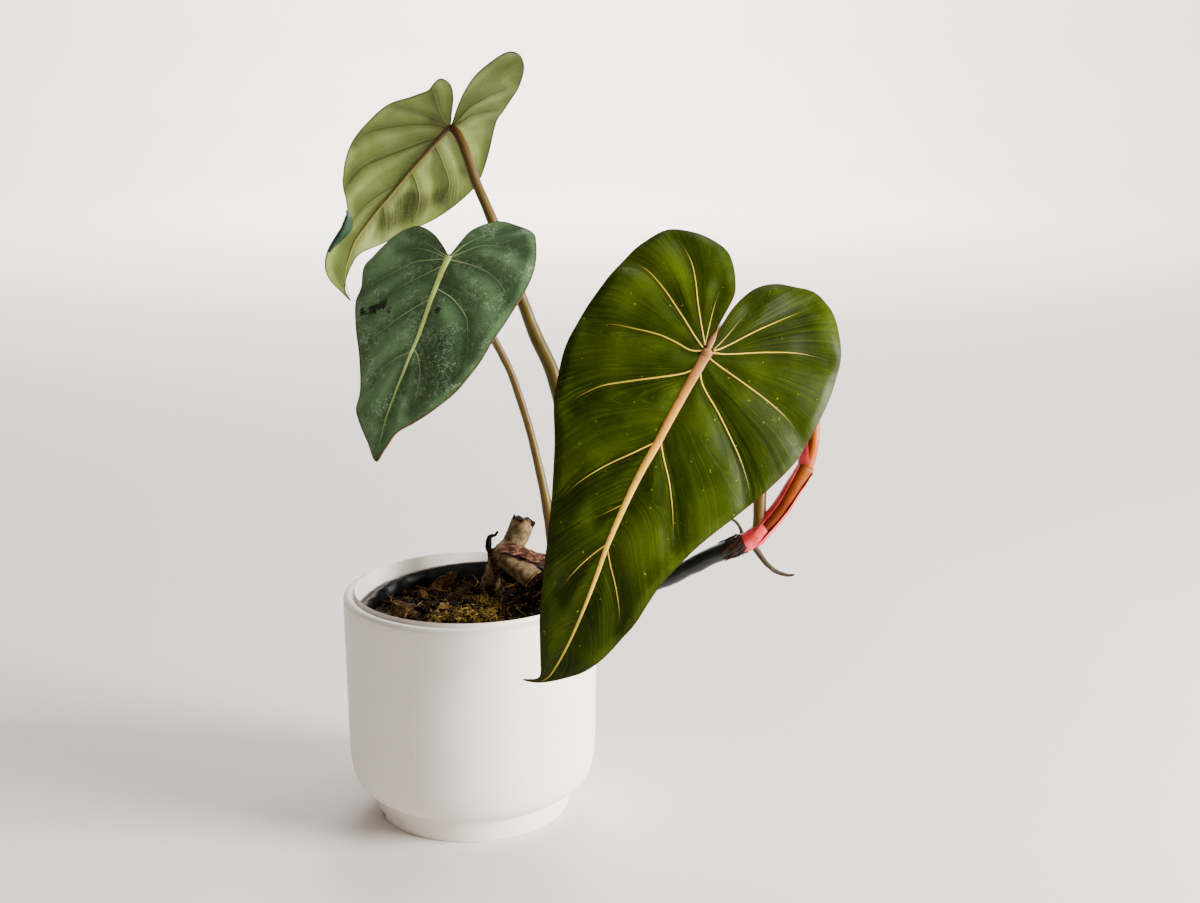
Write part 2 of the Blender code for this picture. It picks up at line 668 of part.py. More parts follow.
BIG_LEAF = Leaf(
    "leaf_big", hub=(116.2, -60.0, 251.5), tip_way=(-0.4709, -0.4647, -0.7499),
    face_way=(-0.0094, -0.8473, 0.5310), length=174.0, bend=0.0037, lobe_bend=0.0033,
    lift=(-0.04, 0.096), droop=(0.0032, 0.0041), quilt=1.6, rib=1.3,
    edge=[(-12, -2), (-28, -2), (-37, -4), (-46, -9), (-53, -16), (-55, -27), (-54, -37),
          (-50, -46), (-41, -52), (-26, -57), (-6, -60), (15, -61), (29, -60), (43, -56),
          (54, -52), (70, -43), (90, -34), (108, -27), (127, -20.5), (146, -13.6), (155, -9.6),
          (164, -5.5), (170, -3), (174, -3.6), (177.6, -10), (176, -3), (171, 4.4), (165, 11),
          (160, 15.3), (152.6, 19.6), (146, 22.2), (137, 24.8), (127, 27.4), (107, 30), (84, 37),
          (64, 46), (48, 53), (30, 59), (17, 61), (-5, 61), (-23, 59), (-36, 55), (-50, 45),
          (-55, 36), (-56, 29), (-53, 21), (-49, 13), (-42, 7), (-33, 4), (-23, 2), (-10, 1)],
    veins=[[(-9, -7), (-27, -19), (-39, -28), (-48, -38)], [(-14, -4), (-37, -11)],
           [(-9, -13), (-20, -31), (-25, -50)], [(1, -4), (2, -21), (9, -49), (13, -56)],
           [(10, -2), (23, -18), (34, -33), (50, -46)], [(51, -2), (66, -15), (85, -27), (93, -29)],
           [(81, -2), (90, -9), (98, -17)], [(102, -2), (111, -6), (132, -13)],
           [(-5, 5), (-18, 7), (-30, 8)], [(-3, 4), (-21, 15), (-40, 27), (-48, 35)],
           [(-1, 3), (-14, 24), (-23, 39), (-25, 54)], [(3, 2), (5, 22), (6, 39), (11, 54)],
           [(12, 2), (27, 23), (43, 43), (47, 47)], [(50, 2), (67, 15), (82, 25), (91, 29)],
           [(106, 3), (116, 12), (132, 20)]])

LEFT_LEAF = Leaf(
    "leaf_left", hub=(-5.7, -20.0, 291.5), tip_way=(-0.2987, -0.5545, -0.7767),
    face_way=(-0.3285, -0.7044, 0.6292), length=108.7, bend=0.0010, lobe_bend=0.012,
    lift=(0.08, -0.02), droop=(0.0010, 0.0020), quilt=1.3, rib=1.0,
    edge=[(-6, -6), (-12, -13), (-16, -20), (-18, -27), (-16, -33), (-10, -39), (1, -45),
          (8, -48), (19, -45), (28, -45), (43, -38), (57, -30), (75, -22), (84, -21),
          (90, -17), (100, -8), (108.7, 0), (102, 3), (94, 6), (88, 13), (80, 22),
          (69, 30), (55, 36), (41, 40), (26, 44), (10, 47), (0, 47), (-12, 43), (-18, 39),
          (-22, 30), (-24, 19), (-21, 12), (-16, 6), (-9, 3)],
    veins=[[(0, -3), (-3, -12), (-4, -32)], [(-3, -5), (-10, -24)],
           [(2, -3), (3, -14), (8, -27), (17, -40)], [(5, -2), (14, -13), (27, -34)],
           [(24, -2), (32, -11), (43, -21), (55, -28)], [(53, -2), (58, -10), (71, -16)],
           [(-1, 3), (-8, 5), (-15, 14), (-19, 28)], [(2, 4), (-5, 8), (-9, 29)],
           [(3, 3), (3, 13), (6, 25), (13, 35), (20, 39)], [(20, 3), (25, 14), (34, 23), (47, 27)],
           [(52, 2), (60, 7), (72, 12)]])

TOP_LEAF = Leaf(
    "leaf_top", hub=(-9.6, 50.0, 349.8), tip_way=(-0.5739, 0.6216, -0.5332),
    face_way=(-0.0619, 0.6163, 0.7851), length=123.6, bend=0.0060, lobe_bend=0.0040,
    lift=(0.03, -0.30), droop=(0.0040, 0.0015), quilt=1.3, rib=1.0,
    curl=(0.8, 76.0, 118.0, 6.0),
    edge=[(-9, 4.7), (-17, 9), (-22.5, 13), (-26, 17.7), (-24.7, 22), (-18.8, 22.4), (-12, 22),
          (-2, 25.8), (8, 31.5), (23.4, 34.3), (38, 35.9), (51, 34), (64.5, 29), (73, 23.2),
          (80, 19), (87, 19), (94, 20.3), (102, 20.6), (108.8, 19.6), (114, 17.3), (118.7, 12.8),
          (122, 5.8), (125.8, -2.7), (120.5, 3), (113.6, 4.9), (105, 4.9), (97.7, 3), (87.7, -6.3),
          (75, -15), (69, -22), (59, -28.5), (47.5, -32), (34, -34.5), (24, -33.2), (9, -28.3),
          (-11.4, -19.5), (-22, -15.8), (-48, -9.9), (-68, -1), (-75.4, 6), (-74.7, 10.6),
          (-68.6, 12.4), (-55, 12.4), (-40, 11.2), (-25, 8.2), (-13, 4.5)],
    veins=[[(-3, 5), (-9, 12), (-15, 18)], [(2, 3), (1, 14), (1, 25)],
           [(5, 3), (13, 17), (29, 29), (41, 33)], [(19, 3), (37, 15), (56, 25), (66, 27)],
           [(-4, -2), (-22, 0), (-41, 2)], [(-2, -4), (-16, -7), (-48, -3)],
           [(41, -2), (50, -10), (66, -17)], [(19, -5), (24, -20), (34, -31)]])


def make_petiole(name, route, count, radii, look, leaf, neighbours):
    """A leaf stalk, cut clear of the blade above it and of the stem that carries it."""
    body = stem(name, route, count, radii, look)
    for shift in ((-GAP, 0.0), (0.0, GAP), (0.0, -GAP)):
        room = make_blade(leaf, None, 9.0, GAP, "blade_room")
        room.location += leaf.turn.to_3x3() @ Vector((shift[0], shift[1], 0.0)) * MM
        bpy.context.view_layer.update()
        combine(body, [room], "DIFFERENCE")
    combine(body, neighbours, "DIFFERENCE")
    keep_largest(body)
    shade(body, 50)
    return body


def vine(grow=0.0, look=None, name="vine_room"):
    radii = [VINE_RADIUS - 0.3] + [VINE_RADIUS] * 8 + [VINE_RADIUS + 0.2, VINE_RADIUS + 0.4]
    return stem(name, VINE_ROUTE, 30, radii, look, STEM_SIDES + 2, 1.0, grow)


def room(name, route, count, radii, sides=STEM_SIDES):
    """A stem grown by the gap, to be cut out of its neighbour."""
    return stem(name, route, count, radii, None, sides, 1.0, GAP)


def make_shoot(pink, orange):
    """The new shoot: two bracts, the stem inside the lower one and the rolled leaf above it."""
    cup = stem("bract_cup", CUP_ROUTE, 5, CUP_RADII, pink, 12)
    gutter = swept("bract_gutter", smooth_route(LOWER_BRACT_ROUTE, 12)[1:], channel_section(
        lambda t: SHOOT_RADII[0] + GAP + 0.1, lambda t: 5.3 - 0.8 * t, LOWER_OPENING,
        LOWER_OPENS_TOWARDS), None, (0, 1, 0))
    sheath = combine(cup, [gutter])
    sheath.name = "shoot_bract"
    combine(sheath, [room("shoot_room", SHOOT_ROUTE, 12, SHOOT_RADII), vine(GAP),
                     room("stalk_room", PETIOLE_BIG_ROUTE[:4], 8, PETIOLE_BIG_RADII[:2])], "DIFFERENCE")
    keep_largest(sheath)
    shade(sheath, 40)

    internode = stem("shoot_stem", SHOOT_ROUTE, 12, SHOOT_RADII, orange)
    combine(internode, [vine(GAP), room("stalk_room", PETIOLE_BIG_ROUTE[:4], 8, PETIOLE_BIG_RADII[:2])],
            "DIFFERENCE")
    keep_largest(internode)
    shade(internode, 50)

    spear = stem("new_leaf_spear", SPEAR_ROUTE, 12, SPEAR_RADII, orange)
    combine(spear, [room("shoot_room", SHOOT_ROUTE, 12, SHOOT_RADII)], "DIFFERENCE")
    keep_largest(spear)
    shade(spear, 50)
    upper = swept("upper_bract", smooth_route(UPPER_BRACT_ROUTE, 9), channel_section(
        lambda t: 3.6 + 0.4 * t, lambda t: 5.0, UPPER_OPENING, UPPER_OPENS_TOWARDS), pink, (0, 1, 0))
    combine(upper, [room("spear_room", SPEAR_ROUTE, 12, SPEAR_RADII),
                    room("shoot_room", SHOOT_ROUTE, 12, SHOOT_RADII)], "DIFFERENCE")
    keep_largest(upper)
    shade(upper, 40)


def main():
    clear_scene()
    white = material("white ceramic", (0.83, 0.82, 0.80), 0.45)
    black = material("black nursery plastic", (0.012, 0.013, 0.015), 0.32)
    earth = material("chunky potting mix", (0.055, 0.030, 0.018), 0.9)
    tan = material("old stem bark", (0.36, 0.24, 0.15), 0.75)
    paper = material("dry papery bract", (0.33, 0.20, 0.15), 0.8)
    dark_green = material("dark green stem", (0.022, 0.030, 0.026), 0.45)
    olive = material("olive leaf stalk", (0.30, 0.24, 0.08), 0.5)
    glossy = material("glossy green leaf", (0.055, 0.10, 0.012), 0.32)
    velvet = material("velvety blue-green leaf", (0.045, 0.10, 0.055), 0.6)
    underside = material("pale olive leaf underside", (0.30, 0.34, 0.09), 0.6)
    pink = material("pink bract", (0.74, 0.12, 0.14), 0.4)
    orange = material("orange-brown new stem", (0.42, 0.16, 0.03), 0.4)
    root = material("brown aerial root", (0.20, 0.12, 0.05), 0.7)

    make_pot(white)
    make_liner(black)
    make_mix(earth, [make_old_stem(None, GAP, "old_stem_room"), vine(GAP)])

    old_stem = make_old_stem(tan)
    combine(old_stem, [vine(GAP)], "DIFFERENCE")
    keep_largest(old_stem)
    shade(old_stem, 45)
    shade(make_sheath_scrap(paper), 30)
    shade(vine(0.0, dark_green, "vine_stem"), 50)

    make_blade(BIG_LEAF, glossy)
    make_blade(LEFT_LEAF, velvet)
    make_blade(TOP_LEAF, underside)

    make_shoot(pink, orange)

    make_petiole("petiole_top", PETIOLE_TOP_ROUTE, 34, PETIOLE_TOP_RADII, olive, TOP_LEAF, [vine(GAP)])
    make_petiole("petiole_left", PETIOLE_LEFT_ROUTE, 30, PETIOLE_LEFT_RADII, olive, LEFT_LEAF, [vine(GAP)])
    make_petiole("petiole_big", PETIOLE_BIG_ROUTE, 26, PETIOLE_BIG_RADII, olive, BIG_LEAF, [vine(GAP)])

    long_root = stem("aerial_root_long", LONG_ROOT_ROUTE, 14, LONG_ROOT_RADII, root, 7)
    short_root = stem("aerial_root_short", SHORT_ROOT_ROUTE, 9, SHORT_ROOT_RADII, root, 6)
    for body in (long_root, short_root):
        cup_room = stem("cup_room", CUP_ROUTE, 5, CUP_RADII, None, 12, 1.0, GAP)
        combine(body, [vine(GAP), cup_room], "DIFFERENCE")
        keep_largest(body)
        shade(body, 60)


main()
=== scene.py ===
"""Dress the potted philodendron: fine leaves, stems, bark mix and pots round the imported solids."""

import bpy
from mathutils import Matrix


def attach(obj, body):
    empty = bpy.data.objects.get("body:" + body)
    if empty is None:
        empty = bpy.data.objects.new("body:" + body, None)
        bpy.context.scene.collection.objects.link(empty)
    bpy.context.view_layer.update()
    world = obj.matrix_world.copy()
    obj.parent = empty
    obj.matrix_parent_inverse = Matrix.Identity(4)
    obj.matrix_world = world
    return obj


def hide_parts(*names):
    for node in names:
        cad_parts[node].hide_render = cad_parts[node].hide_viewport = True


bl_info = {
    "name": "Potted philodendron",
    "version": (1, 0, 0),
    "blender": (4, 5, 0),
    "location": "View3D > Sidebar > Philodendron",
    "description": "Builds a creeping philodendron in a white ceramic pot, piece by piece",
    "category": "Add Mesh",
}

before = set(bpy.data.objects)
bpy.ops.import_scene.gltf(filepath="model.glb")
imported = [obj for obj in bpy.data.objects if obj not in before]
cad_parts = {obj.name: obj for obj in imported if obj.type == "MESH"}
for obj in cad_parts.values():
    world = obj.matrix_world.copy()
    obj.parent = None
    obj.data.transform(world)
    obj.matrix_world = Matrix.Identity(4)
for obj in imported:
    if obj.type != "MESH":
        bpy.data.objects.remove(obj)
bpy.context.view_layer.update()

import math
import random
from contextlib import contextmanager

import bmesh
import bpy
import numpy as np
from mathutils import Matrix, Vector, geometry, noise

MM = 0.001
BODY = "root"
noise.seed_set(1)  # noise_vector starts from the clock otherwise


# Small tools
def linear(code):
    """Linear colour with alpha from an sRGB hex value."""
    parts = [int(code[i:i + 2], 16) / 255 for i in (1, 3, 5)]
    return (*(c / 12.92 if c <= 0.04045 else ((c + 0.055) / 1.055) ** 2.4 for c in parts), 1.0)


def per(size_mm):
    """Texture scale at which one cell is about size_mm wide on Object coordinates in metres."""
    return 1000.0 / size_mm


def deselect():
    """Leave edit mode and select nothing."""
    if bpy.context.object and bpy.context.object.mode != "OBJECT":
        bpy.ops.object.mode_set(mode="OBJECT")
    bpy.ops.object.select_all(action="DESELECT")


def take(body):
    """Make body the only selected and active object."""
    deselect()
    body.select_set(True)
    bpy.context.view_layer.objects.active = body


def settle(body):
    """Move an object's place, turn and scale into its mesh."""
    take(body)
    bpy.ops.object.transform_apply(location=True, rotation=True, scale=True)


@contextmanager
def editing(kind="VERT"):
    """Edit mode with all of the active mesh selected as vertices, edges or faces."""
    bpy.ops.object.mode_set(mode="EDIT")
    bpy.ops.mesh.select_mode(type=kind)
    bpy.ops.mesh.select_all(action="SELECT")
    yield
    bpy.ops.object.mode_set(mode="OBJECT")


def face_out():
    """Point the faces of the mesh in edit mode outwards."""
    bpy.ops.mesh.select_all(action="SELECT")
    bpy.ops.mesh.normals_make_consistent(inside=False)


def merge(body, distance=1e-6):
    """Merge doubles and point the faces outwards."""
    take(body)
    with editing():
        bpy.ops.mesh.remove_doubles(threshold=distance)
        face_out()


def finish_modifiers(body):
    """Apply the modifiers in their order."""
    take(body)
    for step in [m.name for m in body.modifiers]:
        bpy.ops.object.modifier_apply(modifier=step)


def cut_away(body, cutter):
    """Cut one mesh out of another, then drop the cutter."""
    settle(cutter)
    cut = body.modifiers.new("cut", "BOOLEAN")
    cut.object = cutter
    cut.solver = "EXACT"
    finish_modifiers(body)
    bpy.data.objects.remove(cutter)


def join(bodies):
    """Join meshes into the first of them."""
    deselect()
    for body in bodies:
        body.select_set(True)
    bpy.context.view_layer.objects.active = bodies[0]
    if len(bodies) > 1:
        bpy.ops.object.join()
    return bodies[0]


def smooth(body, degrees=None):
    """Shade smooth; where an angle is given, sharper edges stay sharp."""
    take(body)
    if degrees is None:
        bpy.ops.object.shade_smooth()
    else:
        bpy.ops.object.shade_smooth_by_angle(angle=math.radians(degrees))


def declare(body, name, looks, nodes=()):
    """Name a finished piece, give it its materials and say what it rides on and stands for."""
    body.name = name
    body.data.name = name
    body.data.materials.clear()
    for look in looks:
        body.data.materials.append(look)
    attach(body, BODY)
    if nodes:
        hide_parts(*nodes)


def complete(body, name, looks, nodes=(), degrees=None):
    """Declare a piece and shade it smooth."""
    declare(body, name, looks, nodes)
    smooth(body, degrees)


def new_body(name, vertices, faces):
    """Link a mesh given in millimetres."""
    mesh = bpy.data.meshes.new(name)
    mesh.from_pydata((np.asarray(vertices, float) * MM).tolist(), [], [list(f) for f in faces])
    mesh.update()
    body = bpy.data.objects.new(name, mesh)
    bpy.context.scene.collection.objects.link(body)
    return body


def write_attribute(body, name, values):
    """Store one value for each vertex, or the same value for all."""
    made = body.data.attributes.get(name) or body.data.attributes.new(name, "FLOAT", "POINT")
    made.data.foreach_set("value", np.full(len(body.data.vertices), values, np.float32))


def smooth_route(points, count):
    """Points on a Catmull-Rom curve through the given ones, evenly by index."""
    pts = [Vector(p) for p in points]
    ext = [pts[0] * 2 - pts[1]] + pts + [pts[-1] * 2 - pts[-2]]
    result = []
    for i in range(count):
        t = i * (len(pts) - 1) / (count - 1)
        k = min(int(t), len(pts) - 2)
        f = t - k
        a, b, c, d = ext[k:k + 4]
        result.append(0.5 * ((2 * b) + (c - a) * f + (2 * a - 5 * b + 4 * c - d) * f * f
                             + (3 * b - a - 3 * c + d) * f ** 3))
    return result


def end_and_way(route):
    """The last point of a route and the direction in which the route reaches it."""
    before, end = Vector(route[-2]), Vector(route[-1])
    return end, (end - before).normalized()


def spread(values, t):
    """Read a list of values as a smooth run from t = 0 to t = 1."""
    return float(np.interp(t, np.linspace(0, 1, len(values)), values))


def flat_route(points, count):
    """A smooth run through points of a plane, as an array of pairs."""
    return np.array([(p.x, p.y) for p in smooth_route([(a, b, 0.0) for a, b in points], count)])


# Shape makers
def tubes(name, lines, thickness, detail):
    """Bevelled curves made into one mesh; each line is its points and a radius for each."""
    deselect()
    bpy.ops.curve.primitive_nurbs_path_add(location=(0, 0, 0))
    body = bpy.context.object
    body.name = name
    data = body.data
    data.splines.clear()
    for points, radii in lines:
        line = data.splines.new("POLY")
        line.points.add(len(points) - 1)
        for knot, point, radius in zip(line.points, points, radii):
            knot.co = (*(Vector(point) * MM), 1.0)
            knot.radius = radius
    data.bevel_depth = thickness * MM
    data.bevel_resolution = detail
    data.use_fill_caps = True
    take(body)
    bpy.ops.object.convert(target="MESH")
    return bpy.context.object


def cane(name, route, radii, rings=60, detail=4):
    """A round stem along a smooth route, whose radius runs through the given values."""
    wide = [spread(radii, i / (rings - 1)) for i in range(rings)]
    body = tubes(name, [(smooth_route(route, rings), wide)], 1.0, detail)
    count = len(body.data.vertices)
    sides = count // rings
    write_attribute(body, "along", [min(1.0, (i // sides) / (rings - 1)) for i in range(count)])
    return body


def threads(name, lines, thickness, detail=0):
    """Many thin round fibres in one mesh, each half as thick at its end."""
    return tubes(name, [(line, [1.0] * (len(line) - 2) + [0.5, 0.5]) for line in lines],
                 thickness, detail)


def roughen(body, amount, size, seed=0.0):
    """Push the surface in and out by a soft noise, amount and size in millimetres."""
    normals = [v.normal.copy() for v in body.data.vertices]
    for vert, normal in zip(body.data.vertices, normals):
        place = vert.co / (size * MM) + Vector((seed, seed * 1.7, -seed))
        vert.co += normal * noise.noise(place) * amount * MM
    body.data.update()


def strip(name, sections):
    """Loft closed sections, given as points already in space, into one solid."""
    count, last = len(sections[0]), len(sections) - 1
    faces = []
    for start in range(0, last * count, count):
        for j in range(count):
            k = (j + 1) % count
            faces.append((start + j, start + k, start + count + k, start + count + j))
    faces.append(tuple(reversed(range(count))))
    faces.append(tuple(last * count + j for j in range(count)))
    body = new_body(name, [p for ring in sections for p in ring], faces)
    write_attribute(body, "along", [i / last for i in range(last + 1) for _ in range(count)])
    merge(body)
    return body


def frames_along(path, reference):
    """Side and up directions carried along a path."""
    result = []
    side = None
    for i in range(len(path)):
        ahead = (path[min(i + 1, len(path) - 1)] - path[max(i - 1, 0)]).normalized()
        if side is None:
            side = ahead.cross(Vector(reference)).normalized()
        side = (side - ahead * side.dot(ahead)).normalized()
        result.append((side, side.cross(ahead)))
    return result


def turned(name, profile, sides, solid=True):
    """Raise a turned wall from a filled circle, ring by ring: a solid, or an open bowl."""
    deselect()
    radius, height = profile[0]
    bpy.ops.mesh.primitive_circle_add(vertices=sides, radius=radius * MM, fill_type="NGON",
                                      location=(0, 0, height * MM))
    body = bpy.context.object
    body.name = name
    extrude = bpy.ops.mesh.extrude_region_move if solid else bpy.ops.mesh.extrude_edges_move
    with editing("FACE" if solid else "EDGE"):
        for (r0, z0), (r1, z1) in zip(profile, profile[1:]):
            extrude(TRANSFORM_OT_translate={"value": (0, 0, (z1 - z0) * MM)})
            bpy.ops.transform.resize(value=(r1 / r0, r1 / r0, 1.0),
                                     center_override=(0, 0, z1 * MM))
        if solid:
            face_out()
    settle(body)
    return body


# Materials
def feed(tree, node, **inputs):
    """Set a node's inputs, by name or as i and a number, to values or to sockets to link from."""
    for key, value in inputs.items():
        socket = node.inputs[int(key[1:]) if key[1:].isdigit() else key.replace("_", " ")]
        if isinstance(value, bpy.types.NodeSocket):
            tree.links.new(value, socket)
        else:
            socket.default_value = value


def put(tree, kind, settings=(), stops=(), **inputs):
    """Add one node with its settings, its colour stops and its inputs."""
    made = tree.nodes.new(kind)
    for key, value in dict(settings).items():
        setattr(made, key, value)
    if stops:
        band = made.color_ramp
        while len(band.elements) < len(stops):
            band.elements.new(0.5)
        for element, (place, code) in zip(band.elements, stops):
            element.position = place
            element.color = linear(code)
    feed(tree, made, **inputs)
    return made


def blank(name):
    """A new material with its node tree and its Principled shader."""
    look = bpy.data.materials.new(name)
    look.use_nodes = True
    return look, look.node_tree, look.node_tree.nodes["Principled BSDF"]


def calc(tree, operation, first, second=0.5):
    """The result of a sum or product."""
    return put(tree, "ShaderNodeMath", {"operation": operation}, i0=first, i1=second).outputs[0]


def weigh(tree, first, share, second, other_share):
    """Two values added by their shares."""
    return calc(tree, "ADD", calc(tree, "MULTIPLY", first, share),
                calc(tree, "MULTIPLY", second, other_share))


def mix_colour(tree, share, first, second):
    """Mix two colours: codes, RGBA values or sockets."""
    first, second = [linear(c) if isinstance(c, str) else c for c in (first, second)]
    return put(tree, "ShaderNodeMix", {"data_type": "RGBA"}, i0=share, i6=first,
               i7=second).outputs[2]


def stain(tree, under, mask, code, share=1.0):
    """Lay a colour over another where a mask is high, by no more than a share."""
    if share != 1.0:
        mask = calc(tree, "MULTIPLY", mask, share)
    return mix_colour(tree, mask, under, code)


def ramp(tree, share, *stops):
    """A colour read from stops, each a place and a code."""
    return put(tree, "ShaderNodeValToRGB", stops=stops, Fac=share).outputs["Color"]


def stored(tree, name):
    """A value that is stored on the mesh."""
    return put(tree, "ShaderNodeAttribute", {"attribute_name": name}).outputs["Fac"]


def remap(tree, value, to_low, to_high, low=0.0, high=1.0, curve="LINEAR"):
    """Map low..high of a value to to_low..to_high."""
    return put(tree, "ShaderNodeMapRange", {"interpolation_type": curve}, Value=value, From_Min=low,
               From_Max=high, To_Min=to_low, To_Max=to_high).outputs["Result"]


def sharpen(tree, value, low, high):
    """Map low..high of a value to 0..1 with soft ends."""
    return remap(tree, value, 0.0, 1.0, low, high, "SMOOTHSTEP")


def near_zero(tree, name, reach):
    """1 where a stored value is 0, fading softly to 0 where it is at reach."""
    return remap(tree, stored(tree, name), 1.0, 0.0, 0.0, reach, "SMOOTHSTEP")


def speckle(tree, size_mm, detail=3.0, rough=0.5, stretch=(1, 1, 1)):
    """Noise on Object coordinates with cells of about size_mm."""
    where = put(tree, "ShaderNodeTexCoord").outputs["Object"]
    placed = put(tree, "ShaderNodeMapping", Vector=where, Scale=stretch).outputs["Vector"]
    return put(tree, "ShaderNodeTexNoise", Vector=placed, Scale=per(size_mm), Detail=detail,
               Roughness=rough).outputs["Fac"]


def relief(tree, shader, height, depth_mm, strength, under=None):
    """Bump the shader by a height, on top of another bump if one is given."""
    made = put(tree, "ShaderNodeBump", Strength=strength, Distance=depth_mm * MM, Height=height)
    if under is not None:
        feed(tree, made, Normal=under)
    feed(tree, shader, Normal=made.outputs["Normal"])
    return made.outputs["Normal"]


def glazed_stoneware():
    """Stoneware dipped in a matt white glaze: soft even white, faint mottling and pinholes."""
    look, tree, shader = blank("stoneware, dipped in matt white glaze")
    cloud = speckle(tree, 38.0, 4.0)
    pits = sharpen(tree, speckle(tree, 2.4, 1.0), 0.70, 0.76)
    colour = stain(tree, mix_colour(tree, cloud, "#E6DDD6", "#ECE4DE"), pits, "#C4B9AC", 0.22)
    feed(tree, shader, Base_Color=colour, Roughness=remap(tree, cloud, 0.42, 0.54), IOR=1.5)
    wave = relief(tree, shader, cloud, 0.25, 0.35)
    relief(tree, shader, calc(tree, "SUBTRACT", speckle(tree, 1.6, 2.0), pits), 0.03, 0.4, wave)
    return look


def nursery_plastic():
    """Black polypropylene, thermoformed: dark and shiny, dusted grey with dried mix."""
    look, tree, shader = blank("polypropylene, thermoformed black")
    dust = sharpen(tree, speckle(tree, 5.0, 6.0, 0.65), 0.46, 0.66)
    grain = sharpen(tree, speckle(tree, 0.9, 2.0), 0.54, 0.64)
    dirt = calc(tree, "MULTIPLY", dust, calc(tree, "ADD", calc(tree, "MULTIPLY", grain, 0.75),
                                             0.25))
    colour = mix_colour(tree, calc(tree, "MULTIPLY", dirt, 0.5), "#050607", "#1E1B18")
    feed(tree, shader, Base_Color=colour, Roughness=remap(tree, dirt, 0.34, 0.80),
         Specular_IOR_Level=0.14)
    wave = relief(tree, shader, speckle(tree, 9.0, 3.0, 0.5, (1, 1, 0.5)), 0.8, 0.6)
    relief(tree, shader, dirt, 0.05, 0.5, wave)
    return look


def humus():
    """Dark crumbly humus and coir under the bark: black-brown, matt, with lighter crumbs."""
    look, tree, shader = blank("peat and coir crumb")
    crumbs = speckle(tree, 2.2, 6.0, 0.7)
    colour = ramp(tree, crumbs, (0.34, "#030201"), (0.54, "#0A0603"), (0.74, "#1E1208"))
    feed(tree, shader, Base_Color=colour, Roughness=0.9)
    relief(tree, shader, crumbs, 0.9, 0.9)
    return look


def bark(name, dark, middle, pale, shine=0.62, fibre="#7A5A2A", specular=0.12):
    """Composted pine bark, chopped: dull layered flakes with golden fibre lines along the grain."""
    look, tree, shader = blank(name)
    tint = stored(tree, "tint")
    layers = speckle(tree, 1.6, 4.0, 0.6, (1.0, 1.0, 3.0))
    colour = ramp(tree, weigh(tree, layers, 0.55, tint, 0.45), (0.25, dark), (0.52, middle),
                  (0.80, pale))
    lines = sharpen(tree, speckle(tree, 1.0, 4.0, 0.65, (0.35, 1.6, 1.6)), 0.53, 0.66)
    colour = stain(tree, colour, calc(tree, "MULTIPLY", lines, tint), fibre, 0.8)
    feed(tree, shader, Base_Color=colour, Roughness=remap(tree, layers, shine, 0.92),
         Specular_IOR_Level=specular)
    relief(tree, shader, layers, 0.5, 0.9)
    return look


def dry_fibre(name, dark, pale):
    """Dead fibre and moss: dull, tangled, straw to brown."""
    look, tree, shader = blank(name)
    share = weigh(tree, speckle(tree, 1.2, 2.0), 0.4, stored(tree, "tint"), 0.6)
    colour = mix_colour(tree, sharpen(tree, share, 0.25, 0.85), dark, pale)
    feed(tree, shader, Base_Color=colour, Roughness=0.85, Specular_IOR_Level=0.1)
    return look


def corky_stem():
    """Old creeping stem, dried to cork: grey-tan skin, ring scars, brown rims, dark cut ends."""
    look, tree, shader = blank("old stem, dried to cork")
    fibre = speckle(tree, 1.5, 5.0, 0.6, (0.4, 0.9, 0.5))
    skin = ramp(tree, fibre, (0.30, "#2A1E10"), (0.46, "#604C30"), (0.68, "#8A7452"))
    skin = stain(tree, skin, sharpen(tree, speckle(tree, 7.0, 3.0), 0.50, 0.68), "#565236", 0.7)
    skin = stain(tree, skin, sharpen(tree, stored(tree, "ring"), 0.2, 0.9), "#2E2014", 0.75)
    cut = stored(tree, "cut")
    skin = stain(tree, skin, sharpen(tree, cut, 0.22, 0.48), "#58301A")
    crumbs = mix_colour(tree, sharpen(tree, speckle(tree, 1.8, 4.0, 0.7), 0.42, 0.7), "#040201",
                        "#24140A")
    skin = mix_colour(tree, sharpen(tree, cut, 0.62, 0.8), skin, crumbs)
    feed(tree, shader, Base_Color=skin, Roughness=0.8,
         Specular_IOR_Level=remap(tree, cut, 0.3, 0.02, 0.2, 0.7))
    relief(tree, shader, fibre, 0.35, 0.8)
    return look


def papery_bract():
    """Dead bract, dried to paper: pinkish brown, dark fibre lines along it and torn dark rims."""
    look, tree, shader = blank("dead bract, dried to paper")
    lines = speckle(tree, 2.2, 4.0, 0.65, (0.2, 1.6, 2.4))
    colour = ramp(tree, lines, (0.36, "#140A06"), (0.50, "#44241A"), (0.66, "#80604A"))
    colour = stain(tree, colour, sharpen(tree, stored(tree, "cut"), 0.2, 0.9), "#0D0705")
    feed(tree, shader, Base_Color=colour, Roughness=0.8, Specular_IOR_Level=0.1)
    relief(tree, shader, lines, 0.5, 0.9)
    return look


def stalk_skin(name, low, high, top, speck="#5A4520", shine=0.42, specular=0.35):
    """Leaf stalk skin: waxy, coloured in a run from its base to the blade, finely flecked."""
    look, tree, shader = blank(name)
    skin = ramp(tree, stored(tree, "along"), (0.0, low), (0.6, high), (1.0, top))
    flecks = sharpen(tree, speckle(tree, 1.3, 3.0, 0.6, (1, 1, 0.35)), 0.54, 0.70)
    feed(tree, shader, Base_Color=stain(tree, skin, flecks, speck, 0.45), Roughness=shine,
         Specular_IOR_Level=specular)
    relief(tree, shader, speckle(tree, 1.0, 3.0, 0.5, (1, 1, 0.08)), 0.12, 0.6)
    return look


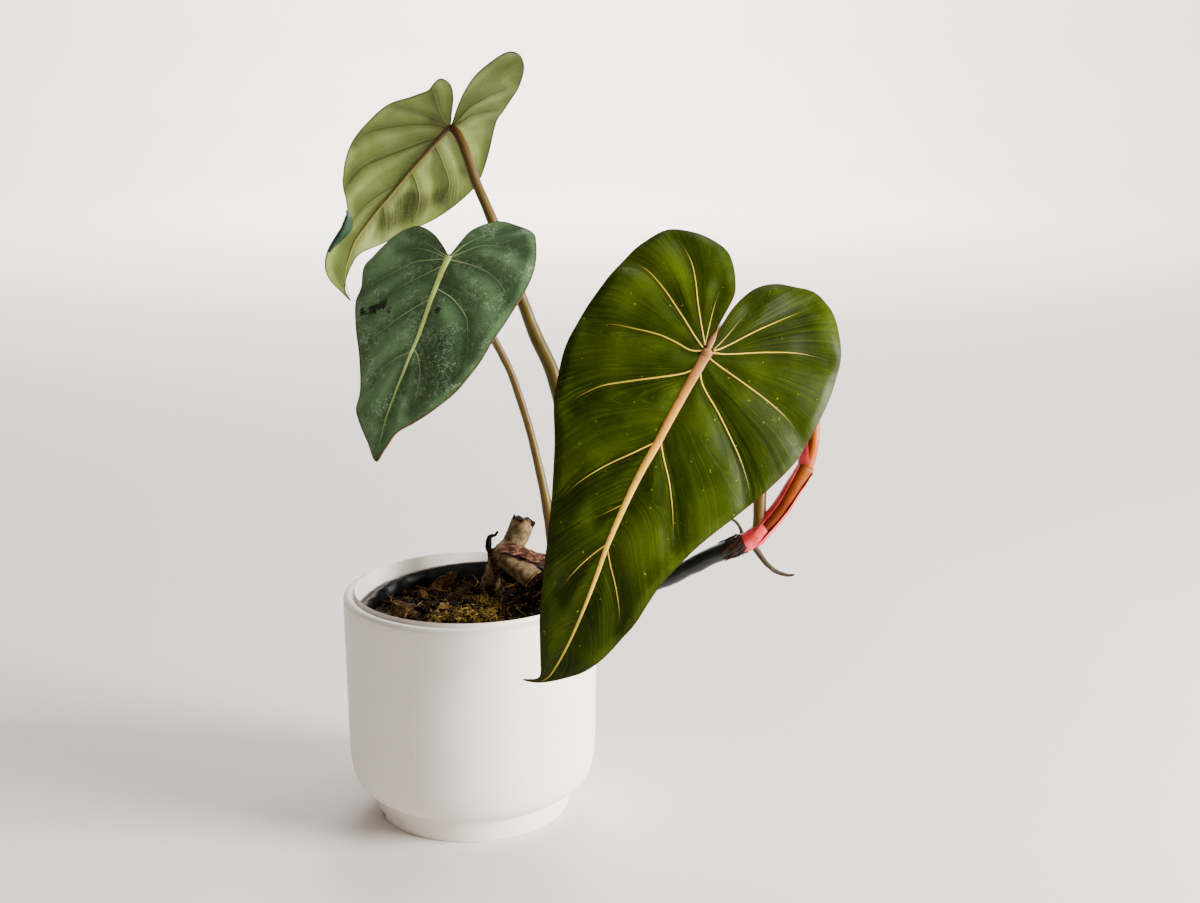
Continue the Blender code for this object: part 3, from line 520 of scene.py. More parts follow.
def vine_skin():
    """Creeping stem skin: smooth near-black green with a wax shine, red-brown at its old node."""
    look, tree, shader = blank("creeping stem, waxy dark green")
    patch = speckle(tree, 7.0, 4.0, 0.6, (0.5, 1, 1))
    skin = ramp(tree, patch, (0.35, "#040604"), (0.55, "#0A100A"), (0.75, "#161E12"))
    skin = stain(tree, skin, sharpen(tree, stored(tree, "along"), 0.90, 1.0), "#2A120C", 0.6)
    feed(tree, shader, Base_Color=skin, Roughness=0.34, Specular_IOR_Level=0.35)
    relief(tree, shader, speckle(tree, 1.2, 3.0, 0.6, (0.12, 1, 1)), 0.12, 0.5)
    return look


def bract_skin():
    """Fresh bract, soft and waxy: pink with darker length veins, dark maroon on its inner face,
    partly its own colour and partly painted shade inside the channel.
    """
    look, tree, shader = blank("bract, fresh pink")
    lines = speckle(tree, 1.1, 3.0, 0.6, (0.3, 1.0, 0.25))
    skin = mix_colour(tree, sharpen(tree, speckle(tree, 6.0, 3.0), 0.35, 0.65), "#C8202E",
                      "#E0484F")
    skin = stain(tree, skin, sharpen(tree, lines, 0.45, 0.7), "#8C0F1E", 0.6)
    # Partly painted shade: the inner face of the channel is coloured dark maroon.
    skin = stain(tree, skin, sharpen(tree, stored(tree, "inside"), 0.2, 0.8), "#4A0A12")
    feed(tree, shader, Base_Color=skin, Roughness=0.36)
    relief(tree, shader, lines, 0.12, 0.5)
    return look


def root_skin(name, dark, pale):
    """Aerial root, dried: brown and fuzzy with a dark growing tip."""
    look, tree, shader = blank(name)
    fuzz = speckle(tree, 0.9, 4.0, 0.7)
    skin = ramp(tree, fuzz, (0.3, dark), (0.7, pale))
    skin = stain(tree, skin, sharpen(tree, stored(tree, "along"), 0.88, 1.0), "#2A1B10")
    feed(tree, shader, Base_Color=skin, Roughness=0.75)
    relief(tree, shader, fuzz, 0.15, 0.8)
    return look


def blade_skin(name, shade, body, bright, painted_valley_shade, streak_and_painted_light, rough, specular=0.25, share=0.4, dust=0.0,
               rim="#3A1D10", speck="#8E9A1C"):
    """Leaf blade: clouded cushions, painted shade along the vein valleys, painted light and shade in
    listed spots, fine streaks between veins.
    """
    look, tree, shader = blank(name)
    green = ramp(tree, speckle(tree, 24.0, 4.0, 0.55), (0.34, shade), (0.50, body), (0.66, bright))
    # Painted light and painted shade: where the stored spot value is above 0 the blade takes the
    # streak colour, and where it is below 0 the valley colour.
    painted_light_shade = stored(tree, "painted_light_shade")
    green = stain(tree, green, sharpen(tree, painted_light_shade, 0.0, 1.0), streak_and_painted_light)
    green = stain(tree, green, sharpen(tree, painted_light_shade, 0.0, -1.0), painted_valley_shade)
    # Painted shade: the valley colour laid within a few millimetres of the veins, where the cushions
    # dip.
    green = stain(tree, green, near_zero(tree, "vein", VALLEY_WIDTH), painted_valley_shade, 0.6)
    waver = calc(tree, "MULTIPLY", speckle(tree, 16.0, 2.0), 0.015)
    run = calc(tree, "ADD", stored(tree, "flow"), waver)
    broad, fine = [put(tree, "ShaderNodeTexNoise", {"noise_dimensions": "1D"}, W=run, Scale=scale,
                       Detail=2.0).outputs["Fac"] for scale in (13.0, 34.0)]
    lines = calc(tree, "MULTIPLY", sharpen(tree, fine, 0.50, 0.72),
                 sharpen(tree, speckle(tree, 9.0, 3.0), 0.38, 0.62))
    green = stain(tree, green, sharpen(tree, broad, 0.35, 0.7), streak_and_painted_light, share * 0.45)
    green = stain(tree, green, lines, streak_and_painted_light, share)
    marks = calc(tree, "ADD", stored(tree, "mark"),
                 calc(tree, "MULTIPLY", speckle(tree, 4.0, 4.0, 0.75, (1, 1, 2)), 1.6))
    green = stain(tree, green, sharpen(tree, marks, 1.42, 1.50), "#050B06")
    green = stain(tree, green, sharpen(tree, speckle(tree, 2.0, 1.0), 0.765, 0.785), speck, 0.7)
    if dust:
        fluff = calc(tree, "ABSOLUTE", calc(tree, "SUBTRACT", speckle(tree, 3.4, 3.0, 0.6), 0.5))
        patches = sharpen(tree, speckle(tree, 9.0, 3.0), 0.42, 0.60)
        fluff = calc(tree, "MULTIPLY", sharpen(tree, fluff, 0.022, 0.004), patches)
        green = stain(tree, green, fluff, "#A8BCA0", dust)
        haze = sharpen(tree, speckle(tree, 0.7, 2.0), 0.50, 0.66)
        green = stain(tree, green, haze, "#708E6C", dust * 0.45)
    green = stain(tree, green, sharpen(tree, speckle(tree, 1.3, 4.0, 0.7), 0.46, 0.70), shade, 0.3)
    green = stain(tree, green, near_zero(tree, "edge", 1.3), rim, 0.75)
    sheen = remap(tree, speckle(tree, 11.0, 4.0, 0.6), rough - 0.07, rough + 0.09, 0.3, 0.7)
    feed(tree, shader, Base_Color=green, Roughness=sheen, Specular_IOR_Level=specular)
    skin = relief(tree, shader, calc(tree, "ADD", fine, broad), 0.10, 0.6)
    relief(tree, shader, speckle(tree, 0.9, 4.0, 0.7), 0.07, 0.6, skin)
    return look


def vein_skin(name, run, fleck, rough=0.45, fade=None):
    """Vein or midrib skin: waxy, coloured in a run from joint to tip, flecked and scarred."""
    look, tree, shader = blank(name)
    along = stored(tree, "along")
    skin = ramp(tree, along, *((i / (len(run) - 1), code) for i, code in enumerate(run)))
    skin = stain(tree, skin, sharpen(tree, speckle(tree, 1.0, 3.0), 0.52, 0.68), fleck, 0.25)
    skin = stain(tree, skin, sharpen(tree, speckle(tree, 5.0, 2.0), 0.68, 0.72), fleck, 0.5)
    if fade:
        skin = stain(tree, skin, sharpen(tree, along, 0.62, 1.0), fade)
    feed(tree, shader, Base_Color=skin, Roughness=rough, Specular_IOR_Level=0.3)
    relief(tree, shader, speckle(tree, 0.9, 2.0), 0.08, 0.6)
    return look


# Leaf blades.  u runs from the petiole's joint to the tip, v to the side; both follow the surface.
VALLEY_WIDTH = 6.0
WAVE_CELL, WAVE_HEIGHT = 15.0, 0.8
VEIN_RISE = 0.35
RIM_RISE, RIM_FADE = 0.35, 4.0
LOBE_FADE = 6.0
LOBE_GAP = 40.0
FLOW_REACH = 30.0
FLOW_SIDE_STEP = 20
COURSE_POINTS, OUTLINE_POINTS = 28, 3000
RIB_SIDES = 20


def gap_to(line, spots):
    """Distance from each spot to a line of points, all in the plane."""
    best = np.full(len(spots), 1e9)
    for a, b in zip(line, line[1:]):
        way = b - a
        t = np.clip(((spots - a) @ way) / (way @ way + 1e-9), 0, 1)
        best = np.minimum(best, np.linalg.norm(spots - (a + t[:, None] * way), axis=1))
    return best


class Leaf:
    """A heart-shaped blade: its place, its bends and the course of its edge, midrib and veins."""

    def __init__(self, node, hub, tip_way, face_way, length, bend, lobe_bend, lift, droop, quilt,
                 middle, edge, veins, guides, curl=(0.0, 0.0, 1.0, 0.0)):
        self.node = node
        self.hub = np.array(hub)
        ahead = Vector(tip_way).normalized()
        face = Vector(face_way)
        face = (face - ahead * face.dot(ahead)).normalized()
        side = face.cross(ahead)
        self.axes = np.array([ahead, side, face])
        self.length, self.bend, self.lobe_bend = length, bend, lobe_bend
        self.lift, self.droop, self.quilt = lift, droop, quilt
        self.edge, self.curl = edge, curl
        self.middle = np.array([(0.0, 0.0)] + middle)
        self.veins = [flat_route(vein, COURSE_POINTS) for vein in veins]
        self.guides = [flat_route(guide, COURSE_POINTS) for guide in guides]

    def half_width(self, u, side):
        """Distance along the surface from the midrib to the edge, on the side -1 or +1."""
        pairs = sorted((a, abs(b)) for a, b in self.edge if b * side > 0 and abs(b) > 5)
        best = 0.0
        for (a0, b0), (a1, b1) in zip(pairs, pairs[1:]):
            if a0 <= u <= a1 and a1 > a0:
                best = max(best, b0 + (b1 - b0) * (u - a0) / (a1 - a0))
        return best

    def sheet(self, u, v):
        """Points and normals of the bent sheet at arrays of (u, v), in millimetres in the frame."""
        u, v = np.asarray(u, float), np.asarray(v, float)
        k = np.where(u > 0, self.bend, self.lobe_bend)
        theta = k * u
        start = np.where(v < 0, self.lift[0], self.lift[1])
        s = np.abs(v)
        start = np.where(u < 0, start * np.minimum(1.0, s / LOBE_FADE), start)
        c = np.where(v < 0, self.droop[0], self.droop[1])
        slope = start + c * s
        out = (np.sin(slope) - np.sin(start)) / c
        down = (np.cos(start) - np.cos(slope)) / c
        depth, u0, u1, reach = self.curl
        if depth:
            table_u = np.linspace(u0, u1, 60)
            table_w = [self.half_width(x, 1) for x in table_u]
            over = s - (np.interp(u, table_u, table_w) - reach)
            swell = np.sin(np.pi * np.clip((u - u0) / (u1 - u0), 0, 1))
            hit = (v > 0) & (u > u0) & (u < u1) & (over > 0) & (depth * swell / reach > 1e-6)
            bend = np.where(hit, depth * swell / reach, 1.0)
            over = np.where(hit, over, 0.0)
            arc = bend * over
            turn = slope + arc
            far = out - over * np.cos(slope) + (np.sin(turn) - np.sin(slope)) / bend
            deep = down - over * np.sin(slope) + (np.cos(slope) - np.cos(turn)) / bend
            out, down, slope = np.where(hit, (far, deep, turn), (out, down, slope))
        sign = np.where(v < 0, -1.0, 1.0)
        face = np.stack([np.sin(theta), np.zeros_like(theta), np.cos(theta)], -1)
        point = np.stack([np.sin(theta) / k, sign * out, -(1.0 - np.cos(theta)) / k],
                         -1) - face * down[..., None]
        normal = face * np.cos(slope)[..., None]
        normal[..., 1] += sign * np.sin(slope)
        normal /= np.linalg.norm(normal, axis=-1)[..., None]
        return point @ self.axes + self.hub, normal @ self.axes

    def rise(self, u, v):
        """Rise of the soft cushions between the veins, and the distance to the nearest vein."""
        spots = np.stack([u, v], -1)
        gaps = np.min([gap_to(line, spots) for line in self.veins], 0)
        rib = np.where(u < 0, LOBE_GAP, np.abs(v - np.interp(u, *self.middle.T)))
        near = np.minimum(gaps, rib)
        return self.quilt * (1.0 - np.exp(-(near / VALLEY_WIDTH) ** 2)), near

    def wave(self, u, v):
        """The slow waves of the whole sheet."""
        return WAVE_HEIGHT * np.array([noise.noise((a / WAVE_CELL, b / WAVE_CELL, self.length))
                                       for a, b in zip(u, v)])

    def flow(self, u, v):
        """A value that climbs evenly from vein to vein, so its level lines run with them."""
        spots = np.stack([u, v], -1)
        off = v - np.where(u > 0, np.interp(u, *self.middle.T), 0.0)
        result = np.zeros(len(u))
        for side in (-1.0, 1.0):
            lines = [line for line in self.veins + self.guides if line[:, 1].mean() * side > 0]
            lines.sort(key=lambda line: -math.atan2(abs(line[-1][1]), line[-1][0]))
            ends = [(line[-1], line[-1] - line[-2]) for line in lines]
            lines = [np.vstack([line, end + FLOW_REACH * way / np.linalg.norm(way)])
                     for line, (end, way) in zip(lines, ends)]
            weight = np.array([1.0 / (gap_to(line, spots) + 0.05) ** 3 for line in lines])
            rank = (weight * np.arange(len(lines))[:, None]).sum(0) / weight.sum(0)
            part = np.clip(rank - np.floor(rank), 1e-6, 1 - 1e-6)
            ratio = (part / (1 - part)) ** (1 / 3)
            level = np.floor(rank) + ratio / (1 + ratio) + FLOW_SIDE_STEP * (side > 0)
            result = np.where(off * side > 0, level, result)
        return result

    def outline(self, step):
        """The edge as evenly spaced points, from the joint round the blade and back."""
        route = smooth_route([(0.0, 0.0, 0.0)] + [(a, b, 0.0) for a, b in self.edge],
                             OUTLINE_POINTS)
        result = [route[0]]
        for point in route[1:]:
            if (point - result[-1]).length >= step:
                result.append(point)
        if (result[-1] - result[0]).length < step * 0.6:
            result.pop()
        return np.array([(p.x, p.y) for p in result])


BIG_LEAF = Leaf(
    "leaf_big", hub=(116.2, -60.0, 251.5), tip_way=(-0.4709, -0.4647, -0.7499),
    face_way=(-0.0094, -0.8473, 0.5310), length=174.0, bend=0.0037, lobe_bend=0.0033,
    lift=(-0.04, 0.096), droop=(0.0032, 0.0041), quilt=1.9,
    middle=[(15, -0.2), (31, -0.5), (49, -0.6), (65, -1.2), (82, -0.9), (100, 0.1), (118, 1.9),
            (135, 3.1), (152, 3.3), (168, 1.9), (174, -0.8)],
    edge=[(-12, -1.3), (-28, -1.4), (-36, -3), (-46, -9), (-53, -16), (-55, -27), (-54, -37),
          (-50, -46), (-41, -52), (-26, -57), (-6, -60), (15, -61), (29, -60), (43, -56),
          (54, -52), (70, -43), (90, -34), (108, -27), (127, -20.5), (146, -13.6), (155, -9.6),
          (164, -5.5), (170, -3), (174, -3.6), (177.6, -10), (176, -3), (171, 4.4), (165, 11),
          (160, 15.3), (152.6, 19.6), (146, 22.2), (137, 24.8), (127, 27.4), (107, 30), (84, 37),
          (64, 46), (48, 53), (30, 59), (17, 61), (-5, 61), (-23, 59), (-36, 55), (-50, 45),
          (-55, 36), (-56, 29), (-53, 21), (-49, 12.5), (-42, 5.6), (-33, 1.8), (-23, 0.1),
          (-10, -0.3)],
    veins=[[(-3, -2.5), (-11.7, -9.0), (-20.5, -15.1), (-31, -21.8), (-38.4, -27.4), (-43.4, -33.1),
            (-47, -38.8)],
           [(-4, -2.8), (-11.3, -4.8), (-20.8, -7.2), (-31, -9.1)],
           [(-1.5, -3), (-4.6, -8.6), (-8.8, -15.1), (-17.9, -29.3), (-24, -41), (-26, -48.3),
            (-26, -55)],
           [(0, -2), (2.4, -7.6), (2.1, -14.7), (2.4, -24), (4.4, -34.4), (7.4, -46), (12.3, -55)],
           [(9, -1), (14, -5.1), (21.5, -15), (30.2, -27.8), (37, -36.6), (44.8, -42.9),
            (50.5, -45.2)],
           [(48, -1), (57.5, -8.3), (68.1, -16.7), (80.4, -24.3), (92, -29)],
           [(79.5, -0.8), (84, -4.3), (91.4, -10)],
           [(99.5, 0), (108.1, -4.4), (118.1, -8.2), (131, -11.5)],
           [(-3, 2), (-8, 3.4), (-15.7, 5), (-28.3, 7)],
           [(-2.4, 2.4), (-7.7, 6.4), (-20.2, 14.2), (-36, 24.4), (-47, 32)],
           [(-1, 1.8), (-5, 9.5), (-14.9, 24.1), (-24.2, 39.5), (-28.3, 51.1)],
           [(1.5, 1.5), (2.5, 6.4), (4.5, 21.4), (6.4, 36.7), (9, 48), (14, 57)],
           [(9.5, 1), (15.3, 5.9), (22.1, 16.4), (30.1, 27.5), (36.9, 36.2), (46.1, 45.3),
            (51.5, 48.6)],
           [(46.5, 0), (53, 4.7), (62.6, 12.7), (75.5, 21), (88, 27)],
           [(103, 1.5), (108.8, 5.7), (116.9, 12.2), (126.2, 18.2), (133, 20.5)]],
    guides=[[(-6, -1), (-24, -1.6), (-40, -5)], [(-6, 1), (-24, 2), (-44, 8)],
            [(128, 1), (143, -5), (156, -8)], [(150, 2), (162, -3), (169, -3.5)],
            [(130, 4), (145, 13), (156, 17)], [(150, 4), (160, 8), (167, 8)]])


LEFT_LEAF = Leaf(
    "leaf_left", hub=(-5.7, -20.0, 291.5), tip_way=(-0.2987, -0.5545, -0.7767),
    face_way=(-0.3285, -0.7044, 0.6292), length=108.7, bend=0.0010, lobe_bend=0.012,
    lift=(0.08, -0.02), droop=(0.0010, 0.0020), quilt=1.7,
    middle=[(10.5, -0.7), (25.8, -0.4), (42, -0.4), (60, -1.2), (77, -2.2), (92, -2), (104, -0.8)],
    edge=[(-6, -6), (-12, -13), (-16, -20), (-18, -27), (-16, -33), (-10, -39), (1, -45),
          (8, -48), (19, -45), (28, -45), (43, -38), (57, -30), (75, -22), (84, -21),
          (90, -17), (100, -8), (108.7, 0), (102, 3), (94, 6), (88, 13), (80, 22),
          (69, 30), (55, 36), (41, 40), (26, 44), (10, 47), (0, 47), (-12, 43), (-18, 39),
          (-22, 30), (-24, 19), (-21, 12), (-16, 6), (-9, 3)],
    veins=[[(0, -1.5), (-1.9, -5.7), (-4.7, -10.9), (-9.4, -21), (-13, -29)],
           [(1, -1.8), (-1.6, -8.9), (-3.7, -19.8), (-2.5, -32)],
           [(2, -1.5), (2.2, -8), (4.3, -19.1), (10.4, -28.7), (17.7, -39.3), (24, -43)],
           [(5.5, -1), (10.5, -9.8), (17.6, -20.2), (26, -30.5)],
           [(24, -1), (29.4, -8.8), (37.2, -17.5), (46, -23.9), (53, -27.5)],
           [(52.5, -1), (57.5, -9.3), (65, -15.5), (71, -17)],
           [(-0.5, 1.2), (-7.4, 6.6), (-14.3, 15.3), (-20.5, 28.5)],
           [(0.5, 1.5), (-2.8, 6.6), (-7.4, 15.8), (-7.9, 28.9), (-5, 37)],
           [(2, 1.5), (3.7, 14), (7.2, 25), (15, 35.5), (21, 38.5)],
           [(18.5, 0.8), (23.4, 11.6), (31.9, 21.4), (42.5, 26.1), (51, 28)],
           [(51, 0), (55.2, 3.9), (64.5, 8.3), (75.7, 9.9), (83, 9.6)]],
    guides=[[(-4, -2.5), (-12, -10), (-17, -22)], [(-4, 1), (-14, 5), (-22, 16)],
            [(76, -3), (86, -9), (92, -11)], [(78, -1.5), (88, 5), (94, 4)]])


TOP_LEAF = Leaf(
    "leaf_top", hub=(-9.6, 50.0, 349.8), tip_way=(-0.5739, 0.6216, -0.5332),
    face_way=(-0.0619, 0.6163, 0.7851), length=123.6, bend=0.0060, lobe_bend=0.0040,
    lift=(0.03, -0.30), droop=(0.0040, 0.0015), quilt=2.0, curl=(0.8, 76.0, 118.0, 6.0),
    middle=[(13, 0.2), (26, 0.8), (39, 1.5), (50, 2.5), (60, 3.8), (70, 5.4), (81, 7.1), (87, 8.1),
            (94, 8.8), (102, 8.1), (109, 7.4), (117, 4.4), (123, -0.4)],
    edge=[(-9, 4.7), (-17, 9), (-22.5, 13), (-26, 17.7), (-24.7, 22), (-18.8, 22.4), (-12, 22),
          (-2, 25.8), (8, 31.5), (23.4, 34.3), (38, 35.9), (51, 34), (64.5, 29), (73, 23.2),
          (80, 19), (87, 19), (94, 20.3), (102, 20.6), (108.8, 19.6), (114, 17.3), (118.7, 12.8),
          (122, 5.8), (125.8, -2.7), (120.5, 3), (113.6, 4.9), (105, 4.9), (97.7, 3), (87.7, -6.3),
          (75, -15), (69, -22), (59, -28.5), (47.5, -32), (34, -34.5), (24, -33.2), (9, -28.3),
          (-11.4, -19.5), (-22, -15.8), (-48, -9.9), (-68, -1), (-75.4, 6), (-74.7, 10.6),
          (-68.6, 12.4), (-55, 12.4), (-40, 11.2), (-25, 8.2), (-13, 4.5)],
    veins=[[(-0.5, 1.5), (-2.8, 6.7), (-6.8, 11.4), (-15.3, 19.3)],
           [(0.8, 1.5), (0.8, 8.1), (1.2, 14), (6.6, 27.5)],
           [(2.5, 0.8), (5.6, 7.2), (16.8, 19.4), (32, 31.8), (40, 34)],
           [(10, 0.3), (18.9, 4.8), (34.5, 13.4), (49.4, 22.5), (57.6, 24.8), (67, 25.4)],
           [(49, 2.4), (62.6, 9.2), (73.7, 13), (86, 15.4)],
           [(40, 0.8), (46.5, -5.8), (52.8, -10.4), (59.7, -13.3), (69, -15.5)],
           [(17, -0.5), (25.1, -9.4), (37.5, -20.4), (49, -24)],
           [(4, -0.8), (8, -8), (14, -17), (24, -26)],
           [(-2, -0.3), (-10.3, 0.2), (-21.8, 0.6), (-34, -1), (-46, -4.5)],
           [(-1, -1), (-8, -2.4), (-14.5, -4), (-26.5, -11)],
           [(66, 4.6), (74, -1), (84, -5)]],
    guides=[[(-6, 3), (-14, 7.5), (-23, 14)], [(-10, 3), (-30, 7), (-60, 11)],
            [(84, 9), (96, 13), (108, 15)], [(84, 7), (92, 4.5), (102, 5)]])


def fine_blade(leaf, name, looks, thickness, step, worn=(), painted_light_spots=()):
    """The blade as one fine sheet cut to its outline and thickened, with its own material on the
    rim.
    """
    edge = leaf.outline(step)
    closed = np.vstack([edge, edge[:1]])
    low, high = edge.min(0), edge.max(0)
    spots = []
    for i, v in enumerate(np.arange(low[1], high[1], step * 0.866)):
        us = np.arange(low[0] + (i % 2) * step / 2, high[0], step)
        spots.append(np.stack([us, np.full(len(us), v)], -1))
    spots = np.concatenate(spots)
    hit = np.zeros(len(spots), bool)
    for p, q in zip(edge, np.roll(edge, -1, 0)):
        crosses = (p[1] > spots[:, 1]) != (q[1] > spots[:, 1])
        at = (q[0] - p[0]) * (spots[:, 1] - p[1]) / (q[1] - p[1] + 1e-12) + p[0]
        hit ^= crosses & (spots[:, 0] < at)
    keep = hit & (gap_to(closed, spots) > step * 0.5)
    plan = geometry.delaunay_2d_cdt([Vector(p) for p in edge] + [Vector(p) for p in spots[keep]],
                                    [],
                                    [list(range(len(edge)))], 1, 1e-4)
    flat = np.array([tuple(p) for p in plan[0]])
    u, v = flat.T
    rim = gap_to(closed, flat)
    rise, close = leaf.rise(u, v)
    point, normal = leaf.sheet(u, v)
    fade = RIM_RISE + (1.0 - RIM_RISE) * np.clip(rim / RIM_FADE, 0, 1)
    lift = rise * fade + leaf.wave(u, v)
    body = new_body(name, point + normal * lift[:, None], [tuple(f) for f in plan[2]])
    mark = np.zeros(len(u))
    for a, b, reach in worn:
        mark = np.maximum(mark, 1.0 - np.hypot(u - a, v - b) / reach)
    # Painted light and painted shade: each listed spot has a place, a reach and a share, lighter
    # above 0 and darker below.
    painted_light_shade = np.zeros(len(u))
    for a, b, reach, share in painted_light_spots:
        painted_light_shade += share * np.exp(-((u - a) ** 2 + (v - b) ** 2) / reach ** 2)
    for key, values in (("vein", close), ("edge", rim), ("flow", leaf.flow(u, v)),
                        ("along", np.clip(u / leaf.length, 0, 1)), ("mark", mark), ("painted_light_shade", painted_light_shade)):
        write_attribute(body, key, values)
    wall = body.modifiers.new("wall", "SOLIDIFY")
    wall.thickness = thickness * MM
    wall.offset = -1.0
    wall.use_quality_normals = True
    wall.material_offset = 1
    wall.material_offset_rim = 2
    declare(body, name, looks, [leaf.node])
    if body.data.polygons[0].normal.dot(Vector(leaf.axes[2])) < 0:
        body.data.flip_normals()
    finish_modifiers(body)
    smooth(body, 50)


def vein_tubes(leaf, name, looks, widths, sunk, below=0.0):
    """The side veins: fine tapered canes half sunk in the blade's valleys."""
    bodies = []
    for line, width in zip(leaf.veins, widths):
        u, v = line.T
        rise, _ = leaf.rise(u, v)
        point, normal = leaf.sheet(u, v)
        radii = [width, width * 0.9, width * 0.72, width * 0.5, 0.1]
        shift = np.interp(np.linspace(0, 1, len(u)), np.linspace(0, 1, len(radii)), radii) * sunk
        middle = point + normal * (VEIN_RISE * rise + leaf.wave(u, v) - shift - below)[:, None]
        bodies.append(cane(name, [tuple(p) for p in middle], radii, 40, 2))
    complete(join(bodies), name, looks)


def rib(leaf, name, line, wide, high, deep, count=90):
    """A rounded ridge along a line on the blade, high above it and deep below."""
    u, v = flat_route(line, count).T
    point, normal = leaf.sheet(u, v)
    wave = leaf.wave(u, v)
    sections = []
    for i in range(count):
        t = i / (count - 1)
        ahead = point[min(i + 1, count - 1)] - point[max(i - 1, 0)]
        ahead /= np.linalg.norm(ahead)
        side = np.cross(normal[i], ahead)
        w, h, d = spread(wide, t), spread(high, t), spread(deep, t)
        ring = []
        for j in range(RIB_SIDES):
            angle = 2 * math.pi * j / RIB_SIDES
            tall = h if math.sin(angle) > 0 else d
            ring.append(point[i] + side * w * math.cos(angle)
                        + normal[i] * (wave[i] + tall * math.sin(angle) - 0.1))
        sections.append(ring)
    return strip(name, sections)


def midrib(leaf, name, looks, wide, high, deep, joints=()):
    """The midrib, with any swellings where the stalk joins it."""
    bodies = [rib(leaf, name, leaf.middle, wide, high, deep)]
    for line, *girth in joints:
        bodies.append(rib(leaf, name, line, *girth, 24))
        write_attribute(bodies[-1], "along", 0.0)
    complete(join(bodies), name, looks, degrees=60)


# Where the stems, roots and bracts run, from their root ends
RHIZOME = [(11.5, 32, 128), (15.7, 30, 125.9), (23.5, 26.5, 120.8), (31.7, 22.5, 114.8)]
STUB = [(14.5, 32, 124.5), (17.5, 35, 128), (20.6, 37, 131), (26.8, 38.8, 144.6)]
LEG = [(7.0, 38.5, 96), (7.4, 38, 104), (9.5, 35, 115), (13.5, 31.5, 124.5)]
SHEATH = [(13.4, 25.6, 129.8), (21.6, 26, 128.9), (28.6, 27.4, 125.6), (35.4, 29.6, 122.8),
          (39.3, 30.4, 120.3)]
CURL = [(13.1, 31, 131.1), (9.8, 31, 127.8), (7.5, 31, 130.6), (8.4, 31, 136.1), (10.8, 31, 136.9),
        (12.6, 31, 138.9)]
VINE = [(40, 8, 105), (45, 3, 112), (52, -8, 119), (59.5, -19, 122.6), (72, -24, 124.4),
        (87, -26, 127.5), (99, -28, 132), (110, -29, 137.6), (121, -30.5, 143.8),
        (131, -31, 148.6), (138, -31, 151.6)]
STALK_TOP = [(52.5, -8.5, 118), (54, -6, 130), (55, 0, 149), (53.5, 6, 174), (49.5, 12, 201),
             (43, 17, 226), (34, 21, 246), (27, 24, 264), (19, 28, 286), (11, 32, 306),
             (4, 36, 322), (-1, 40, 336), (-5.5, 45, 345.5), (-9.3, 49.2, 349.2)]
STALK_LEFT = [(46, 2.5, 112), (45.5, 3.5, 122), (43, 4, 140), (40, 3.5, 159), (37, 5, 174),
              (33, 7, 192), (28, 8, 210), (21, 8, 231), (12.5, 5.5, 249), (3, 0, 270),
              (-2.5, -8, 283), (-5.4, -18.6, 290.6)]
STALK_BIG = [(143.5, -31, 153), (145, -31, 158), (145.5, -28, 173), (148, -22, 191),
             (149, -17, 210), (146.5, -16, 230), (140, -20, 248), (131.5, -30, 259),
             (123.5, -44, 259.5), (116.8, -57.4, 252.6)]
SHOOT = [(141, -31, 152.8), (145, -31, 156), (155, -30, 168), (162, -29, 179.5), (168.5, -27, 190)]
SPEAR = [(167.6, -27.3, 188.4), (169.4, -26.3, 192.5), (171.3, -25, 200), (172, -22, 211),
         (170.5, -19.5, 223), (168, -17.5, 235)]
LONG_ROOT = [(141.5, -32.5, 152), (144, -33, 148), (147, -35, 144), (150, -37, 141),
             (154, -38, 138.4), (159, -39, 137.2), (162, -40, 137.8)]
SHORT_ROOT = [(137.5, -30.5, 152.5), (136.6, -28, 156.4), (135, -23, 159), (132.5, -20, 160.4),
              (129, -19, 160.6)]

POT_PROFILE = [(49.4, 0), (50.2, 0.8), (52, 13.4), (52.8, 14.8), (57.2, 15.3), (58.6, 16.2),
               (60.6, 18.4), (62.4, 22.4), (63.7, 29), (64.3, 39), (64.6, 62), (65, 104),
               (65, 114.9), (64.2, 116.7), (62.6, 117.5), (61.2, 117.4), (59.7, 116.5),
               (59, 114.7), (58.4, 60), (57.4, 24), (54.5, 14), (49, 9.6), (45, 9)]
LINER_LOW, LINER_TOP = 9.3, 111.8
LINER_SLOPE = 0.05
MIX_REACH = 51.9
MIX_FLOOR, MIX_LEVEL = 10.6, 103.0
DARK_CUT = 0.95


def mix_height(x, y):
    """Height of the potting mix."""
    inward = max(0.0, 1.0 - (math.hypot(x, y) / MIX_REACH) ** 4)
    swell = noise.noise((x / 17.0, y / 17.0, 3.1)) + 0.5 * noise.noise((x / 6.0, y / 6.0, 8.4))
    return MIX_LEVEL + inward * (3.0 * swell + 1.5)


def rounded(profile, steps):
    """Refine a profile with a smooth run between its points."""
    return [(max(r, 0.5), max(z, 0.0))
            for r, z in flat_route(profile, (len(profile) - 1) * steps + 1)]


def tint_islands(body, seed):
    """Give each loose part of a mesh its own tint."""
    draw = random.Random(seed)
    work = bmesh.new()
    work.from_mesh(body.data)
    tints = [0.0] * len(work.verts)
    seen = set()
    for start in work.verts:
        if start.index in seen:
            continue
        value = draw.random()
        stack = [start]
        seen.add(start.index)
        while stack:
            vert = stack.pop()
            tints[vert.index] = value
            for edge in vert.link_edges:
                other = edge.other_vert(vert)
                if other.index not in seen:
                    seen.add(other.index)
                    stack.append(other)
    work.free()
    write_attribute(body, "tint", tints)


